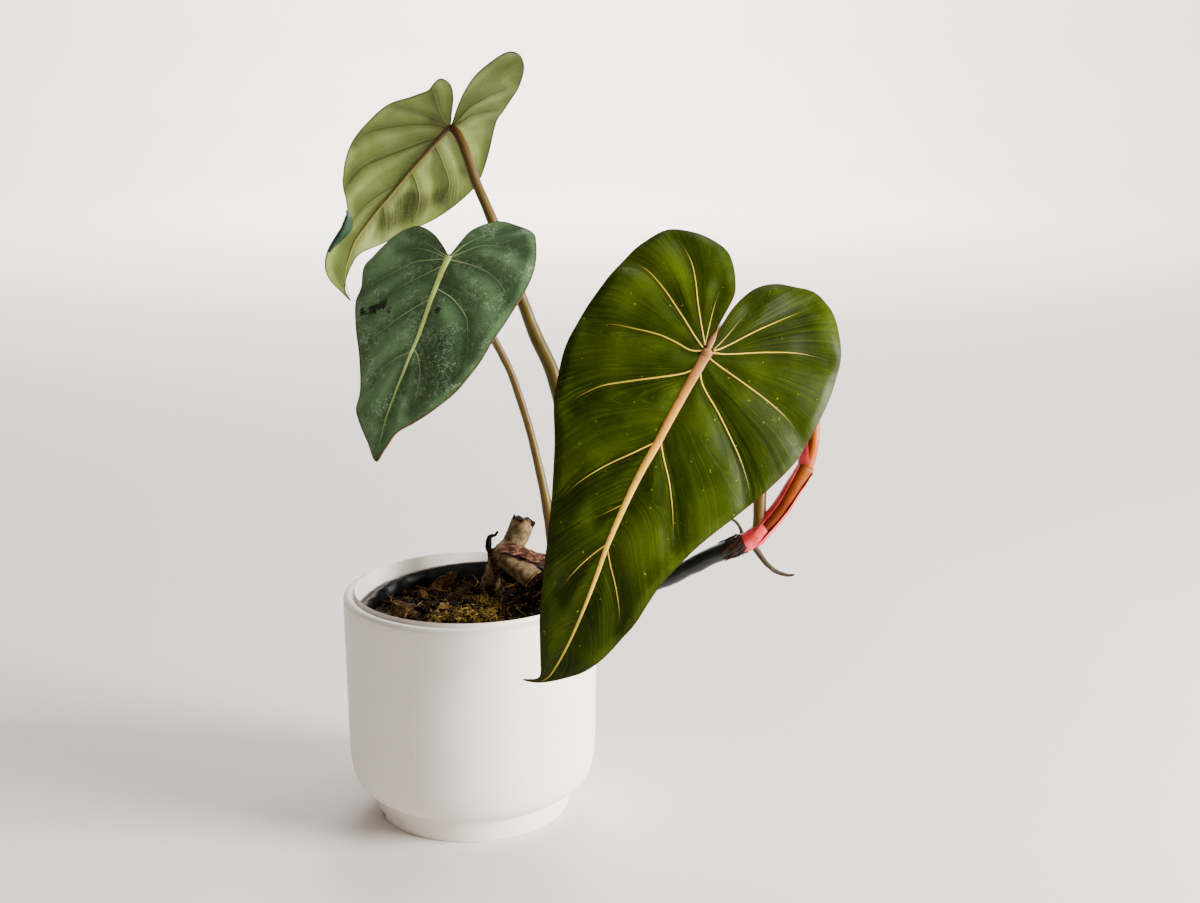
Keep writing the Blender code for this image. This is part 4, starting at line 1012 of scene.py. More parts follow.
def bark_pattern(draw, sides, layers):
    """One chip of bark: a slab raised in layers that end unevenly, about one unit across."""
    deselect()
    bpy.ops.mesh.primitive_circle_add(vertices=sides, radius=0.5, fill_type="NGON",
                                      location=(0, 0, -0.5))
    body = bpy.context.object
    with editing("FACE"):
        for _ in range(layers):
            bpy.ops.mesh.extrude_region_move(TRANSFORM_OT_translate={"value": (0, 0, 1.0 / layers)})
            bpy.ops.transform.resize(value=(draw.uniform(0.86, 1.12), draw.uniform(0.86, 1.12),
                                            1.0),
                                     center_override=(draw.uniform(-0.1, 0.1), 0, 0))
        face_out()
    settle(body)
    for vert in body.data.vertices:
        vert.co += Vector([draw.uniform(-0.07, 0.07) for _ in range(3)])
    return body


def scatter(patterns, places, name, seed):
    """Copies of the patterns, each with its own warped mesh, joined into one piece."""
    draw = random.Random(seed)
    copies = []
    for centre, size, heading, pitch, roll in places:
        mesh = draw.choice(patterns).data.copy()
        shift = Vector([draw.uniform(-9, 9) for _ in range(3)])
        for vert in mesh.vertices:
            vert.co += Vector(noise.noise_vector(vert.co * 1.6 + shift)) * 0.22
        mesh.transform(Matrix.Translation(Vector(centre) * MM) @ Matrix.Rotation(heading, 4, "Z")
                       @ Matrix.Rotation(pitch, 4, "Y") @ Matrix.Rotation(roll, 4, "X")
                       @ Matrix.Diagonal((*[s * MM for s in size], 1.0)))
        body = bpy.data.objects.new(name, mesh)
        bpy.context.scene.collection.objects.link(body)
        copies.append(body)
    body = join(copies)
    tint_islands(body, seed + 1)
    return body


def polar_spot(draw, reach):
    """The distance and the turn of a point drawn evenly on a disc."""
    return reach * math.sqrt(draw.random()), draw.uniform(0, 2 * math.pi)


def wisp(draw, start, length, points=7, lift=0.3, curl=0.9):
    """A loose crooked fibre that starts at a point and wanders."""
    spot = Vector(start)
    way = Vector((draw.uniform(-1, 1), draw.uniform(-1, 1), draw.uniform(-0.3, lift))).normalized()
    line = [tuple(spot)]
    for _ in range(points - 1):
        way = (way + Vector((draw.uniform(-curl, curl), draw.uniform(-curl, curl),
                             draw.uniform(-curl, curl) * 0.5)) * 0.5).normalized()
        spot = spot + way * length / (points - 1)
        line.append(tuple(spot))
    return line


def channel(name, route, inner, outer, opening, facing, rings=50, steps=15, wave=0.0, seed=3):
    """A C-shaped skin along a route, open round one direction, with an attribute for its inside."""
    path = smooth_route(route, rings)
    draw = random.Random(seed)
    ripple = [draw.uniform(-1, 1) for _ in range(60)]
    vertices = []
    inside = []
    for i, (side, up) in enumerate(frames_along(path, (0, 1, 0))):
        t = i / (rings - 1)
        loose = wave * np.interp(t * 12, range(60), ripple)
        half = math.radians(180 - opening(t) / 2) + loose * 0.2
        middle = math.radians(facing(t) + 180)
        for radius, order, mark in ((outer(t), range(steps), 0.0),
                                    (inner(t), reversed(range(steps)), 1.0)):
            for j in order:
                share = abs(2 * j / (steps - 1) - 1)
                angle = middle - half + 2 * half * j / (steps - 1)
                r = radius + (outer(t) - radius) * 0.5 * share ** 8 + loose * share ** 4
                vertices.append(path[i] + side * r * math.cos(angle) + up * r * math.sin(angle))
                inside.append(mark)
    count = 2 * steps
    last = (rings - 1) * count
    faces = [(a + j, a + (j + 1) % count, a + count + (j + 1) % count, a + count + j)
             for a in range(0, last, count) for j in range(count)]
    for a in (0, last):
        faces += [(a + j, a + j + 1, a + count - 2 - j,
                   a + count - 1 - j) for j in range(steps - 1)]
    body = new_body(name, [tuple(p) for p in vertices], faces)
    write_attribute(body, "inside", inside)
    write_attribute(body, "along", [i / (rings - 1) for i in range(rings) for _ in range(count)])
    merge(body, 1e-7)
    return body


class PhilodendronSizes(bpy.types.PropertyGroup):
    """Sizes and colours that a user would change."""
    pot_sides: bpy.props.IntProperty(
        name="Pot sides", description="Straight sides round the pot", default=144, min=24, max=400)
    blade_step: bpy.props.FloatProperty(
        name="Blade step", description="Width of the triangles in a leaf blade",
        default=0.0014, min=0.0005, max=0.01, unit="LENGTH")
    blade_wall: bpy.props.FloatProperty(
        name="Blade thickness", description="Thickness of a leaf blade",
        default=0.0006, min=0.0002, max=0.002, unit="LENGTH")
    chip_count: bpy.props.IntProperty(
        name="Bark chips", description="Chips of bark on the potting mix", default=300, min=0,
        max=2000)
    fibre_count: bpy.props.IntProperty(
        name="Fibres", description="Loose fibres on the potting mix", default=420, min=0, max=2000)
    floor_colour: bpy.props.FloatVectorProperty(
        name="Floor", description="Colour of the floor under the pot", subtype="COLOR", size=3,
        default=linear("#D3CEC8")[:3], min=0.0, max=1.0)


def sizes():
    """The sizes and colours set in the panel."""
    return bpy.context.scene.philodendron


class PHILODENDRON_OT_pot(bpy.types.Operator):
    """Turn the white ceramic pot with its rounded rim, inset foot and the notch in the foot"""
    bl_idname = "philodendron.pot"
    bl_label = "Ceramic pot"

    def execute(self, context):
        body = turned("pot", rounded(POT_PROFILE, 3), sizes().pot_sides)
        angle, reach = math.radians(205), 0.0512
        deselect()
        bpy.ops.mesh.primitive_cube_add(size=1.0, rotation=(0, 0, angle), location=(
            reach * math.cos(angle), reach * math.sin(angle), 0.0006))
        notch = bpy.context.object
        notch.scale = (0.010, 0.008, 0.0052)
        cut_away(body, notch)
        complete(body, "glazed_pot", [glazed_stoneware()], ["ceramic_pot"], 35)
        return {"FINISHED"}


class PHILODENDRON_OT_liner(bpy.types.Operator):
    """Form the thin black growing pot with its rolled rim and drain holes"""
    bl_idname = "philodendron.liner"
    bl_label = "Growing pot"

    def execute(self, context):
        low, top = LINER_LOW, LINER_TOP

        def wall(z):
            return 43.0 + 12.0 * (z - low) / 103.1
        profile = [(42, low), (43, low + 1), (wall(60), 60), (wall(top - 5), top - 5),
                   (57.2, top - 4.6),
                   (57.2, top - 0.5), (56.5, top), (54.8, top), (54, top - 0.8),
                   (wall(top - 5) - 1, top - 5),
                   (wall(top - 14) - 1, top - 14), (wall(60) - 1, 60), (42, low + 1.8),
                   (41, low + 1)]
        body = turned("liner", profile, sizes().pot_sides)
        drills = []
        for i in range(5):
            angle = 2 * math.pi * (i + 0.5) / 5
            deselect()
            bpy.ops.mesh.primitive_cylinder_add(vertices=20, radius=0.004, depth=0.008, location=(
                0.026 * math.cos(angle), 0.026 * math.sin(angle), 0.010))
            drills.append(bpy.context.object)
        cut_away(body, join(drills))
        for vert in body.data.vertices:
            x, y, z = vert.co / MM
            if z > top - 5.6:
                around = math.atan2(y, x)
                east, north = math.cos(around), math.sin(around)
                dent = 0.25 * noise.noise((3.0 * east, 3.0 * north, z / 4.0))
                soft = max(0.0, math.cos(around - math.radians(190))) ** 0.5
                dent -= soft * (1.2 + 1.6 * noise.noise((11.0 * east, 11.0 * north, z / 5.0)))
                vert.co.x += dent * MM * east
                vert.co.y += dent * MM * north
                sag = 0.9 * soft * noise.noise((9.0 * around, 3.0, 0.0))
                vert.co.z += (LINER_SLOPE * (x + y) + sag) * MM
        complete(body, "growing_pot", [nursery_plastic()], ["nursery_pot"],
                 40)
        return {"FINISHED"}


def lay_ground():
    """The crumbly body of the mix."""
    profile = [(40.5, MIX_FLOOR), (46, 60), (MIX_REACH, 102.8)]
    body = turned("ground", profile + [(r, MIX_LEVEL) for r in np.linspace(50.4, 1.2, 40)], 120)
    for vert in body.data.vertices:
        x, y, z = vert.co / MM
        if z > 102.9:
            crumb = 1.1 * noise.noise((x / 3.2, y / 3.2, 1.0))
            crumb += 0.6 * noise.noise((x / 1.3, y / 1.3, 4.0))
            vert.co.z = (mix_height(x, y) - 1.0 + crumb) * MM
    complete(body, "mix_ground", [humus()], ["potting_mix"], 60)


def lay_chips(draw, patterns):
    """Small bark chips over the whole mix."""
    places = []
    for _ in range(sizes().chip_count):
        r, angle = polar_spot(draw, MIX_REACH - 2.0)
        x, y = r * math.cos(angle), r * math.sin(angle)
        long = draw.choice((2.0, 2.5, 3.0, 4.0, 5.0, 6.5, 9.0))
        long = min(long, 2.0 * (MIX_REACH + 1.0 - r) + 3.0)
        size = (long, long * draw.uniform(0.35, 0.7), long * draw.uniform(0.25, 0.45))
        height = mix_height(x, y) + size[2] * draw.uniform(0.0, 0.45)
        places.append(((x, y, height), size, draw.uniform(0, 6.28), draw.uniform(-0.5, 0.5),
                       draw.uniform(-0.5, 0.5)))
    look = bark("pine bark, chopped and composted", "#030100", "#0F0702", "#34200A", specular=0.02)
    complete(scatter(patterns, places, "chips", 5), "bark_chips", [look], degrees=30)


def lay_lumps(patterns):
    """The six large lumps of bark: place and rise, size, and heading, pitch and roll."""
    places = [((x, y, mix_height(x, y) + rise), size, *turns) for x, y, rise, size, turns in (
        (-35, -6, 2.5, (12, 11, 9), (0.5, 0.1, 0.0)),
        (-18, 33, 4.5, (21, 8, 6), (0.45, -0.45, 0.3)),
        (-8, 22, 4.5, (18, 3.6, 3.2), (0.75, -0.35, 0.0)),
        (-14, 2, 1.5, (10, 5, 4), (0.9, -0.1, 0.1)),
        (16, 10, 1.5, (10, 5, 4), (0.4, -0.2, 0.1)),
        (-27, 22, 1.5, (9, 5, 4), (1.9, -0.3, 0.2)))]
    lumps = scatter(patterns, places, "lumps", 8)
    finer = lumps.modifiers.new("finer", "SUBSURF")
    finer.subdivision_type = "SIMPLE"
    finer.levels = finer.render_levels = 3
    finish_modifiers(lumps)
    roughen(lumps, 1.1, 3.5, 2.0)
    roughen(lumps, 0.5, 1.3, 6.0)
    look = bark("pine bark, broken lump", "#0A0502", "#2E1C0C", "#604224", 0.7, "#A88448", 0.03)
    complete(lumps, "bark_lumps", [look], degrees=35)


def lay_granules(draw, patterns):
    """Peat granules: over the mix, heaped beside the old stem and caught in its broken end."""
    grains = []

    def grain(spot, size):
        grains.append((spot, (size, size * 0.8, size * 0.7), draw.uniform(0, 6.28),
                       draw.uniform(-1, 1), 0.0))

    for i in range(900):
        x = draw.gauss(31, 9) if i < 200 else draw.uniform(-48, 48)
        y = draw.gauss(-4, 14) if i < 200 else draw.uniform(-48, 48)
        if math.hypot(x, y) <= MIX_REACH - 2:
            size = draw.uniform(0.9, 2.8)
            grain((x, y, mix_height(x, y) + draw.uniform(0.6, 2.4)), size)
    for _ in range(260):
        away, turn = polar_spot(draw, 7.0)
        size = draw.uniform(1.0, 2.2)
        x, y = 33.5 + away * math.cos(turn), 17.5 + away * math.sin(turn)
        grain((x, y, mix_height(x, y) + (8.5 - away) * draw.random()), size)
    end, way = end_and_way(RHIZOME)
    across = way.cross(Vector((0, 0, 1))).normalized()
    for _ in range(110):
        away, turn = polar_spot(draw, 5.3)
        spot = end + way * draw.uniform(0.2, 1.2) + across * away * math.cos(turn)
        spot += way.cross(across) * away * math.sin(turn)
        grain(tuple(spot), draw.uniform(0.8, 1.5))
    look = bark("peat granule, moist", "#030100", "#0D0603", "#2A180A", 0.45, "#5A3E1C", 0.05)
    complete(scatter(patterns, grains, "grains", 9), "dark_granules", [look],
             degrees=60)


def lay_fibres(draw):
    """Loose fibres over the whole mix."""
    lines = []
    for _ in range(sizes().fibre_count):
        r, angle = polar_spot(draw, 46.0)
        x, y = r * math.cos(angle), r * math.sin(angle)
        line = wisp(draw, (x, y, mix_height(x, y) + draw.uniform(0.5, 3.0)), draw.uniform(3, 13))
        if all(math.hypot(px, py) < MIX_REACH for px, py, _ in line):
            lines.append(line)
    fibres = threads("fibres", lines, 0.2)
    tint_islands(fibres, 12)
    look = dry_fibre("coir and fine root, dried", "#1A0F06", "#8A6A34")
    complete(fibres, "loose_fibres", [look])


def lay_moss(draw):
    """A long tangle of dry moss at the front and a tuft beside the stems."""
    tangle = []
    for _ in range(1000):
        along = draw.uniform(-1, 1)
        x = -2.0 + 18.0 * along
        y = -17.0 + draw.gauss(0, 6.0) * (1 - 0.4 * abs(along))
        z = mix_height(x, y) + abs(draw.gauss(1.6, 2.4)) * (1 - 0.5 * abs(along)) + 0.8
        tangle.append(wisp(draw, (x, y, z), draw.uniform(1.6, 4.4), 5, 0.4, 1.6))
    for _ in range(260):
        x, y = draw.gauss(10, 5), draw.gauss(4, 4)
        z = mix_height(x, y) + draw.uniform(0.8, 3.5)
        tangle.append(wisp(draw, (x, y, z), draw.uniform(2.0, 6.0), 5, 0.5, 1.6))
    moss = threads("moss", tangle, 0.34)
    tint_islands(moss, 14)
    complete(moss, "dry_moss", [dry_fibre("sphagnum moss, dried", "#060400", "#84692C")])


class PHILODENDRON_OT_mix(bpy.types.Operator):
    """Fill the growing pot: crumbly ground, bark chips, granules, moss and loose fibres"""
    bl_idname = "philodendron.mix"
    bl_label = "Potting mix"

    def execute(self, context):
        draw = random.Random(21)
        lay_ground()
        patterns = [bark_pattern(draw, sides, layers)
                    for sides, layers in ((7, 3), (6, 2), (8, 3), (5, 3), (9, 2))]
        lay_chips(draw, patterns)
        lay_lumps(patterns)
        lay_granules(draw, patterns[:2])
        lay_fibres(draw)
        lay_moss(draw)
        for pattern in patterns:
            bpy.data.objects.remove(pattern)
        return {"FINISHED"}


def mark_cut(body, rings, values):
    """Store how far the last rings of a cane are cut, counted back from its end."""
    count = len(body.data.vertices)
    sides = count // rings
    cut = np.zeros(count)
    for back, value in enumerate(values):
        start = (rings - 1 - back) * sides
        cut[start:start + sides] = value
    write_attribute(body, "cut", cut)


def mark_rings(body, places, width=0.012):
    """Store where ring scars lie, at places along the cane from 0 to 1."""
    along = np.zeros(len(body.data.vertices), np.float32)
    body.data.attributes["along"].data.foreach_get("value", along)
    ring = np.zeros(len(along))
    for place in places:
        ring = np.maximum(ring, np.exp(-((along - place) / width) ** 2))
    write_attribute(body, "ring", ring)


def break_off(body, route):
    """Snap the end of a cane off along a rough face, coloured near-black, with a worn rim round it.
    """
    end, way = end_and_way(route)
    cut = []
    for vert in body.data.vertices:
        away = vert.co / MM - end
        here = away.dot(way)
        limit = 3.4 * noise.noise((away.x / 2.2, away.y / 2.2, 0.3)) - 1.3
        cut.append(DARK_CUT if here > limit else 0.34 if here > limit - 1.2 else 0.0)
        if here > limit:
            vert.co += way * (limit - here) * MM
    write_attribute(body, "cut", cut)


def torn_bract():
    """The dead bract: a ragged curved sheet over the stem, its dark curl and its shreds."""
    path = smooth_route(SHEATH, 60)
    draw = random.Random(9)
    ripple = [draw.uniform(-1, 1) for _ in range(40)]
    sections = []
    for i, (side, up) in enumerate(frames_along(path, (0, 0, 1))):
        t = i / 59
        tear, fray, lift = [0.7 * float(np.interp(t * rate + start, range(40), ripple))
                            for rate, start in ((14, 0), (11, 17), (9, 5))]
        wide, back = 5.0 + 0.7 * t + tear, 4.6 + fray
        outer = [(0.95 * wide, 0.05 * wide + lift), (0.7 * wide, 0.45 * wide),
                 (0.2 * wide, 0.72 * wide),
                 (-0.4 * back, 0.76 * back + 0.7), (-0.9 * back, 0.5 * back - lift)]
        fine = flat_route(outer, 15)
        ring = [path[i] + side * a + up * b for a, b in fine]
        ring += [path[i] + side * (a - 0.45) + up * (b - 0.45) for a, b in reversed(fine)]
        sections.append([tuple(p) for p in ring])
    scrap = strip("sheath", sections)
    roughen(scrap, 0.5, 5.0, 2.0)
    roughen(scrap, 0.2, 1.2, 4.0)
    rims = [1.0 if i % 30 in (0, 14, 15, 29) else 0.0 for i in range(len(scrap.data.vertices))]
    write_attribute(scrap, "cut", rims)
    curl = cane("curl", CURL, [1.5, 1.7, 1.8, 1.3, 1.0, 0.6], 50, 5)
    roughen(curl, 0.6, 2.0, 9.0)
    write_attribute(curl, "cut", 0.9)
    shreds = []
    for i in range(30):
        spot = Vector((8.2 + 0.14 * i, 29.0, 131 - 0.3 * i))
        line = [tuple(spot)]
        for _ in range(5):
            spot = spot + Vector((draw.uniform(-0.5, 0.9), draw.uniform(-0.8, 0.4),
                                  draw.uniform(-2.6, -1.0)))
            line.append(tuple(spot))
        shreds.append(line)
    rags = threads("rags", shreds, 0.55, 1)
    write_attribute(rags, "cut", 0.3)
    complete(join([scrap, curl, rags]), "papery_sheath", [papery_bract()],
             ["dried_sheath"], 50)


class PHILODENDRON_OT_old_stem(bpy.types.Operator):
    """Grow the old creeping stem with its cut stub, its leg and the dry papery bract over it"""
    bl_idname = "philodendron.old_stem"
    bl_label = "Old stem"

    def execute(self, context):
        pieces = []
        for name, route, radii, rings, scars, cuts in (
                ("rhizome", RHIZOME, [4.8, 6.2, 6.3, 5.9, 6.0, 5.95, 5.9, 6.1, 6.2], 90,
                 (0.20, 0.27, 0.36), (DARK_CUT, 0.5)),
                ("stub", STUB, [5.2, 5.9, 6.1, 6.0, 6.1, 6.3, 6.4], 80, (0.40, 0.48), ()),
                ("leg", LEG, [6.4, 5.6, 5.2, 4.8, 4.6, 4.7, 4.9], 80, (0.35, 0.62, 0.70), ())):
            body = cane(name, route, radii, rings, 9)
            roughen(body, 0.7, 6.0, 1.0)
            roughen(body, 0.3, 1.6, 3.0)
            mark_rings(body, scars)
            mark_cut(body, rings, cuts)
            pieces.append(body)
        break_off(pieces[1], STUB)
        end, way = end_and_way(RHIZOME)
        deselect()
        bpy.ops.mesh.primitive_uv_sphere_add(segments=48, ring_count=28, radius=0.0054,
                                             location=(end - 0.6 * way) * MM,
                                             rotation=way.to_track_quat("Z", "Y").to_euler())
        hollow = bpy.context.object
        hollow.scale = (1.0, 1.0, 0.36)
        settle(hollow)
        roughen(hollow, 1.3, 1.2, 5.0)
        for name, value in (("cut", DARK_CUT), ("ring", 0.0), ("along", 1.0)):
            write_attribute(hollow, name, value)
        complete(join(pieces + [hollow]), "corky_stem", [corky_stem()],
                 ["old_stem"], 60)
        torn_bract()
        return {"FINISHED"}


class PHILODENDRON_OT_vine(bpy.types.Operator):
    """Run the dark green creeping stem out over the rim, with dead fibres round its end"""
    bl_idname = "philodendron.vine"
    bl_label = "Creeping stem"

    def execute(self, context):
        body = cane("vine", VINE, [4.0, 4.3, 4.6, 4.25, 4.2, 4.4, 4.2, 4.2, 4.3, 4.4, 4.5, 4.8],
                    160, 10)
        roughen(body, 0.5, 9.0, 2.0)
        roughen(body, 0.15, 2.0, 2.0)
        complete(body, "creeping_stem", [vine_skin()], ["vine_stem"], 70)
        draw = random.Random(31)
        path = smooth_route(VINE[-3:], 30)
        turns = frames_along(path, (0, 0, 1))
        lines = []
        for _ in range(110):
            draw.randint(12, 26)  # keeps the draws after it in their order
            start, angle = draw.randint(8, 24), draw.uniform(0, 2 * math.pi)
            line = []
            for j in range(5):
                k = min(start + j * 2, 29)
                r = 4.75 + 0.25 * j * draw.random()
                turn = angle + 0.1 * j
                side, up = turns[k]
                line.append(tuple(path[k] + side * r * math.cos(turn) + up * r * math.sin(turn)))
            lines.append(line)
        fringe = threads("fringe", lines, 0.22)
        tint_islands(fringe, 3)
        complete(fringe, "node_fibres", [dry_fibre("bract fibre, dead", "#140A06", "#4A2E1E")])
        return {"FINISHED"}


class PHILODENDRON_OT_stalks(bpy.types.Operator):
    """Raise the three leaf stalks"""
    bl_idname = "philodendron.stalks"
    bl_label = "Leaf stalks"

    def execute(self, context):
        olive = stalk_skin("leaf stalk, waxy olive", "#4A3E0C", "#52420E", "#402810", "#2A1C0A")
        brown = stalk_skin("leaf stalk, waxy brown olive", "#54430E", "#5E440E", "#5C4818",
                           "#2E200A")
        tan = stalk_skin("leaf stalk, waxy tan", "#503A08", "#5C400E", "#D09A78", "#4A3214")
        for name, route, radii, look, node in (
                ("stalk_top", STALK_TOP, [5.0, 4.4, 4.0, 3.6, 3.0, 2.6, 2.4, 2.2], olive,
                 "petiole_top"),
                ("stalk_left", STALK_LEFT, [4.6, 3.6, 2.4, 2.1, 2.0, 2.0, 1.9], brown,
                 "petiole_left"),
                ("stalk_big", STALK_BIG, [4.0, 3.2, 2.7, 2.6, 2.6, 2.6, 2.6], tan, "petiole_big")):
            body = cane(name, route, radii, 150, 8)
            roughen(body, 0.25, 8.0, len(name))
            complete(body, name, [look], [node], 70)
        return {"FINISHED"}


def leaf_set(leaf, prefix, blades, veins, ribs, widths, wide, high, deep, sunk=0.2,
             underside=False, worn=(), painted_light_spots=(), joints=()):
    """Blade, side veins and midrib of one leaf; underside sets the veins under the blade."""
    size = sizes()
    wall = size.blade_wall / MM
    fine_blade(leaf, prefix + "_blade", blades, wall, size.blade_step / MM, worn, painted_light_spots)
    vein_tubes(leaf, prefix + "_veins", [veins], widths, sunk, wall if underside else 0.0)
    midrib(leaf, prefix + "_midrib", [ribs], wide, high, deep, joints)


class PHILODENDRON_OT_big_leaf(bpy.types.Operator):
    """Spread the large glossy leaf with its cream veins"""
    bl_idname = "philodendron.big_leaf"
    bl_label = "Large leaf"

    def execute(self, context):
        # In each blade's colours the fourth is painted shade along the vein valleys and in dark
        # spots, and the fifth colours the fine streaks and the painted light of bright spots.
        upper = blade_skin("leaf blade, glossy dark green", "#152000", "#1F2C00", "#2E3C00",
                           "#131B00", "#4A5800",
                           0.42, 0.07, 0.42)
        under = blade_skin("leaf underside, dull green", "#2A3A0E", "#3A4C14", "#4C5E1E", "#445618",
                           "#5A6C28", 0.6)
        rim = stalk_skin("leaf rim, red-brown", "#4A1E12", "#3A1A0E", "#2E200A")
        leaf_set(BIG_LEAF, "large_leaf", [upper, under, rim],
                 vein_skin("leaf vein, cream", ("#D8AE3C", "#D6B63E", "#A89A22"), "#A88C3A", 0.5,
                           "#2A3405"),
                 vein_skin("midrib, cream and pale pink", ("#8A5C34", "#C8882E", "#F0B83E",
                                                           "#F0C444", "#CAB02C", "#606208"),
                           "#8A4E2C", 0.55),
                 [0.38, 0.22, 0.44, 0.44, 0.44, 0.40, 0.20, 0.30, 0.18, 0.36, 0.40, 0.44, 0.44,
                  0.40, 0.30],
                 [2.5, 2.2, 1.95, 1.75, 1.45, 1.15, 0.85, 0.6, 0.42, 0.2],
                 [1.0, 0.9, 0.8, 0.7, 0.6, 0.5, 0.4, 0.3, 0.2, 0.15],
                 [2.4, 2.2, 2.0, 1.8, 1.5, 1.2, 0.8, 0.6, 0.4, 0.2],
                 # Painted light and painted shade on the blade: spots by place, reach and share.
                 painted_light_spots=[(94, 10, 16, 0.5), (62, 34, 12, 0.3), (72, -34, 14, 0.3),
                          (21, -39, 14, 0.4),
                          (-28, -36, 15, 0.6), (-9, -45, 10, 0.4), (15, 28, 12, -0.4),
                          (-27, 28, 17, -1.2),
                          (20, 46, 14, -0.7), (111, -15, 12, -0.8), (140, -8, 14, -0.5)],
                 joints=[([(-14, -0.8), (-9, -0.8), (-5, -0.7), (-1, -0.2)],
                          [0.2, 1.0, 1.5, 1.4, 1.0],
                          [0.2, 0.5, 0.8, 0.9, 0.8], [0.8, 1.2, 1.6, 1.8, 1.8]),
                         ([(-2.6, -0.3), (0, 0), (3.2, 0)], [0.6, 2.3, 2.7, 2.5, 1.2],
                          [0.3, 1.2, 1.6, 1.3, 0.7], [0.6, 2.0, 2.4, 2.2, 1.0])])
        return {"FINISHED"}


class PHILODENDRON_OT_left_leaf(bpy.types.Operator):
    """Spread the velvety blue-green leaf at the left"""
    bl_idname = "philodendron.left_leaf"
    bl_label = "Left leaf"

    def execute(self, context):
        # In each blade's colours the fourth is painted shade along the vein valleys and in dark
        # spots, and the fifth colours the fine streaks and the painted light of bright spots.
        upper = blade_skin("leaf blade, velvety blue-green", "#384E2E", "#4A6842", "#5D7F55",
                           "#2A4022", "#73936A",
                           0.55, 0.2, 0.3, 0.7, "#4A1C0C", "#9AA78C")
        under = blade_skin("leaf underside, pale green", "#33441E", "#435528", "#566634", "#4C5E2C",
                           "#647440", 0.6)
        rim = stalk_skin("leaf rim, reddish brown", "#4A2A16", "#4A2212", "#7A4A0A")
        worn = [(29.5, -27.0, 9.0), (32.0, -31.5, 7.5), (31.9, -22.5, 5.0), (33.9, -37.2, 6.0),
                (30.1, 5.8, 5.2)]
        leaf_set(LEFT_LEAF, "left_leaf", [upper, under, rim],
                 vein_skin("leaf vein, pale green", ("#A8BC80", "#7E9A66", "#5C7A50"), "#B4C49A",
                           0.5, "#46603A"),
                 vein_skin("midrib, scaly yellow-green", ("#D4EC78", "#D8F084", "#D0E888",
                                                          "#9CBC6C", "#4E6A44"), "#A8BC74"),
                 [0.30, 0.34, 0.36, 0.34, 0.34, 0.26, 0.34, 0.34, 0.36, 0.36, 0.28],
                 [1.75, 1.7, 1.5, 1.3, 1.1, 0.9, 0.7, 0.5, 0.35, 0.2],
                 [0.6, 0.6, 0.5, 0.45, 0.4, 0.35, 0.3, 0.25, 0.2, 0.15],
                 [1.7, 1.6, 1.5, 1.4, 1.2, 1.0, 0.8, 0.6, 0.4, 0.2], 0.3, worn=worn,
                 # Painted light and painted shade on the blade: spots by place, reach and share.
                 painted_light_spots=[(-4, -36, 14, 0.6), (-3, 30, 14, 0.3), (66, -10, 14, 0.4),
                          (47, -22, 14, 0.3),
                          (63, 22, 13, -1.0), (50, 14, 10, -0.8), (30, 40, 9, -0.4)])
        return {"FINISHED"}


def rolled_margin(leaf, name, look):
    """The margin near the tip, which rolls to the underside and shows the upper face."""
    hem_start, hem_length, rings = 78.0, 25.0, 48
    bend_steps, lip_steps = 10, 6
    sections = []
    for i in range(rings):
        t = i / (rings - 1)
        u = hem_start + hem_length * t
        w = leaf.half_width(u, 1) - 0.2
        point, normal = leaf.sheet([u, u], [w, w - 1.0])
        out = point[0] - point[1]
        out /= np.linalg.norm(out)
        face = normal[0]
        reach = spread([1.2, 3.4, 4.6, 5.0, 4.6, 3.2, 1.4, 0.5], t)
        bow = spread([0.4, 0.9, 1.1, 1.1, 1.0, 0.8, 0.5, 0.3], t)
        centre = point[0] - face * (bow + 0.3)
        outer, inner = bow + 0.35, bow - 0.25
        angles = [math.pi * (0.5 - j / bend_steps) for j in range(bend_steps + 1)]
        arcs = [[centre + out * radius * math.cos(a) + face * radius * math.sin(a) for a in angles]
                for radius in (outer, max(inner, 0.05))]
        lip = [centre - face * (outer - 0.5 * bow * j / lip_steps) - out * reach * j / lip_steps
               for j in range(1, lip_steps + 1)]
        back = [centre - face * (inner - 0.5 * bow * j / lip_steps)
                - out * (reach * j / lip_steps - 0.1) for j in range(lip_steps, 0, -1)]
        sections.append(arcs[0] + lip + back + arcs[1][::-1])
    body = strip(name, sections)
    for key, value in (("vein", 9.0), ("edge", 9.0), ("flow", 1.0), ("mark", 0.0), ("painted_light_shade", 0.0)):
        write_attribute(body, key, value)
    complete(body, name, [look], degrees=50)


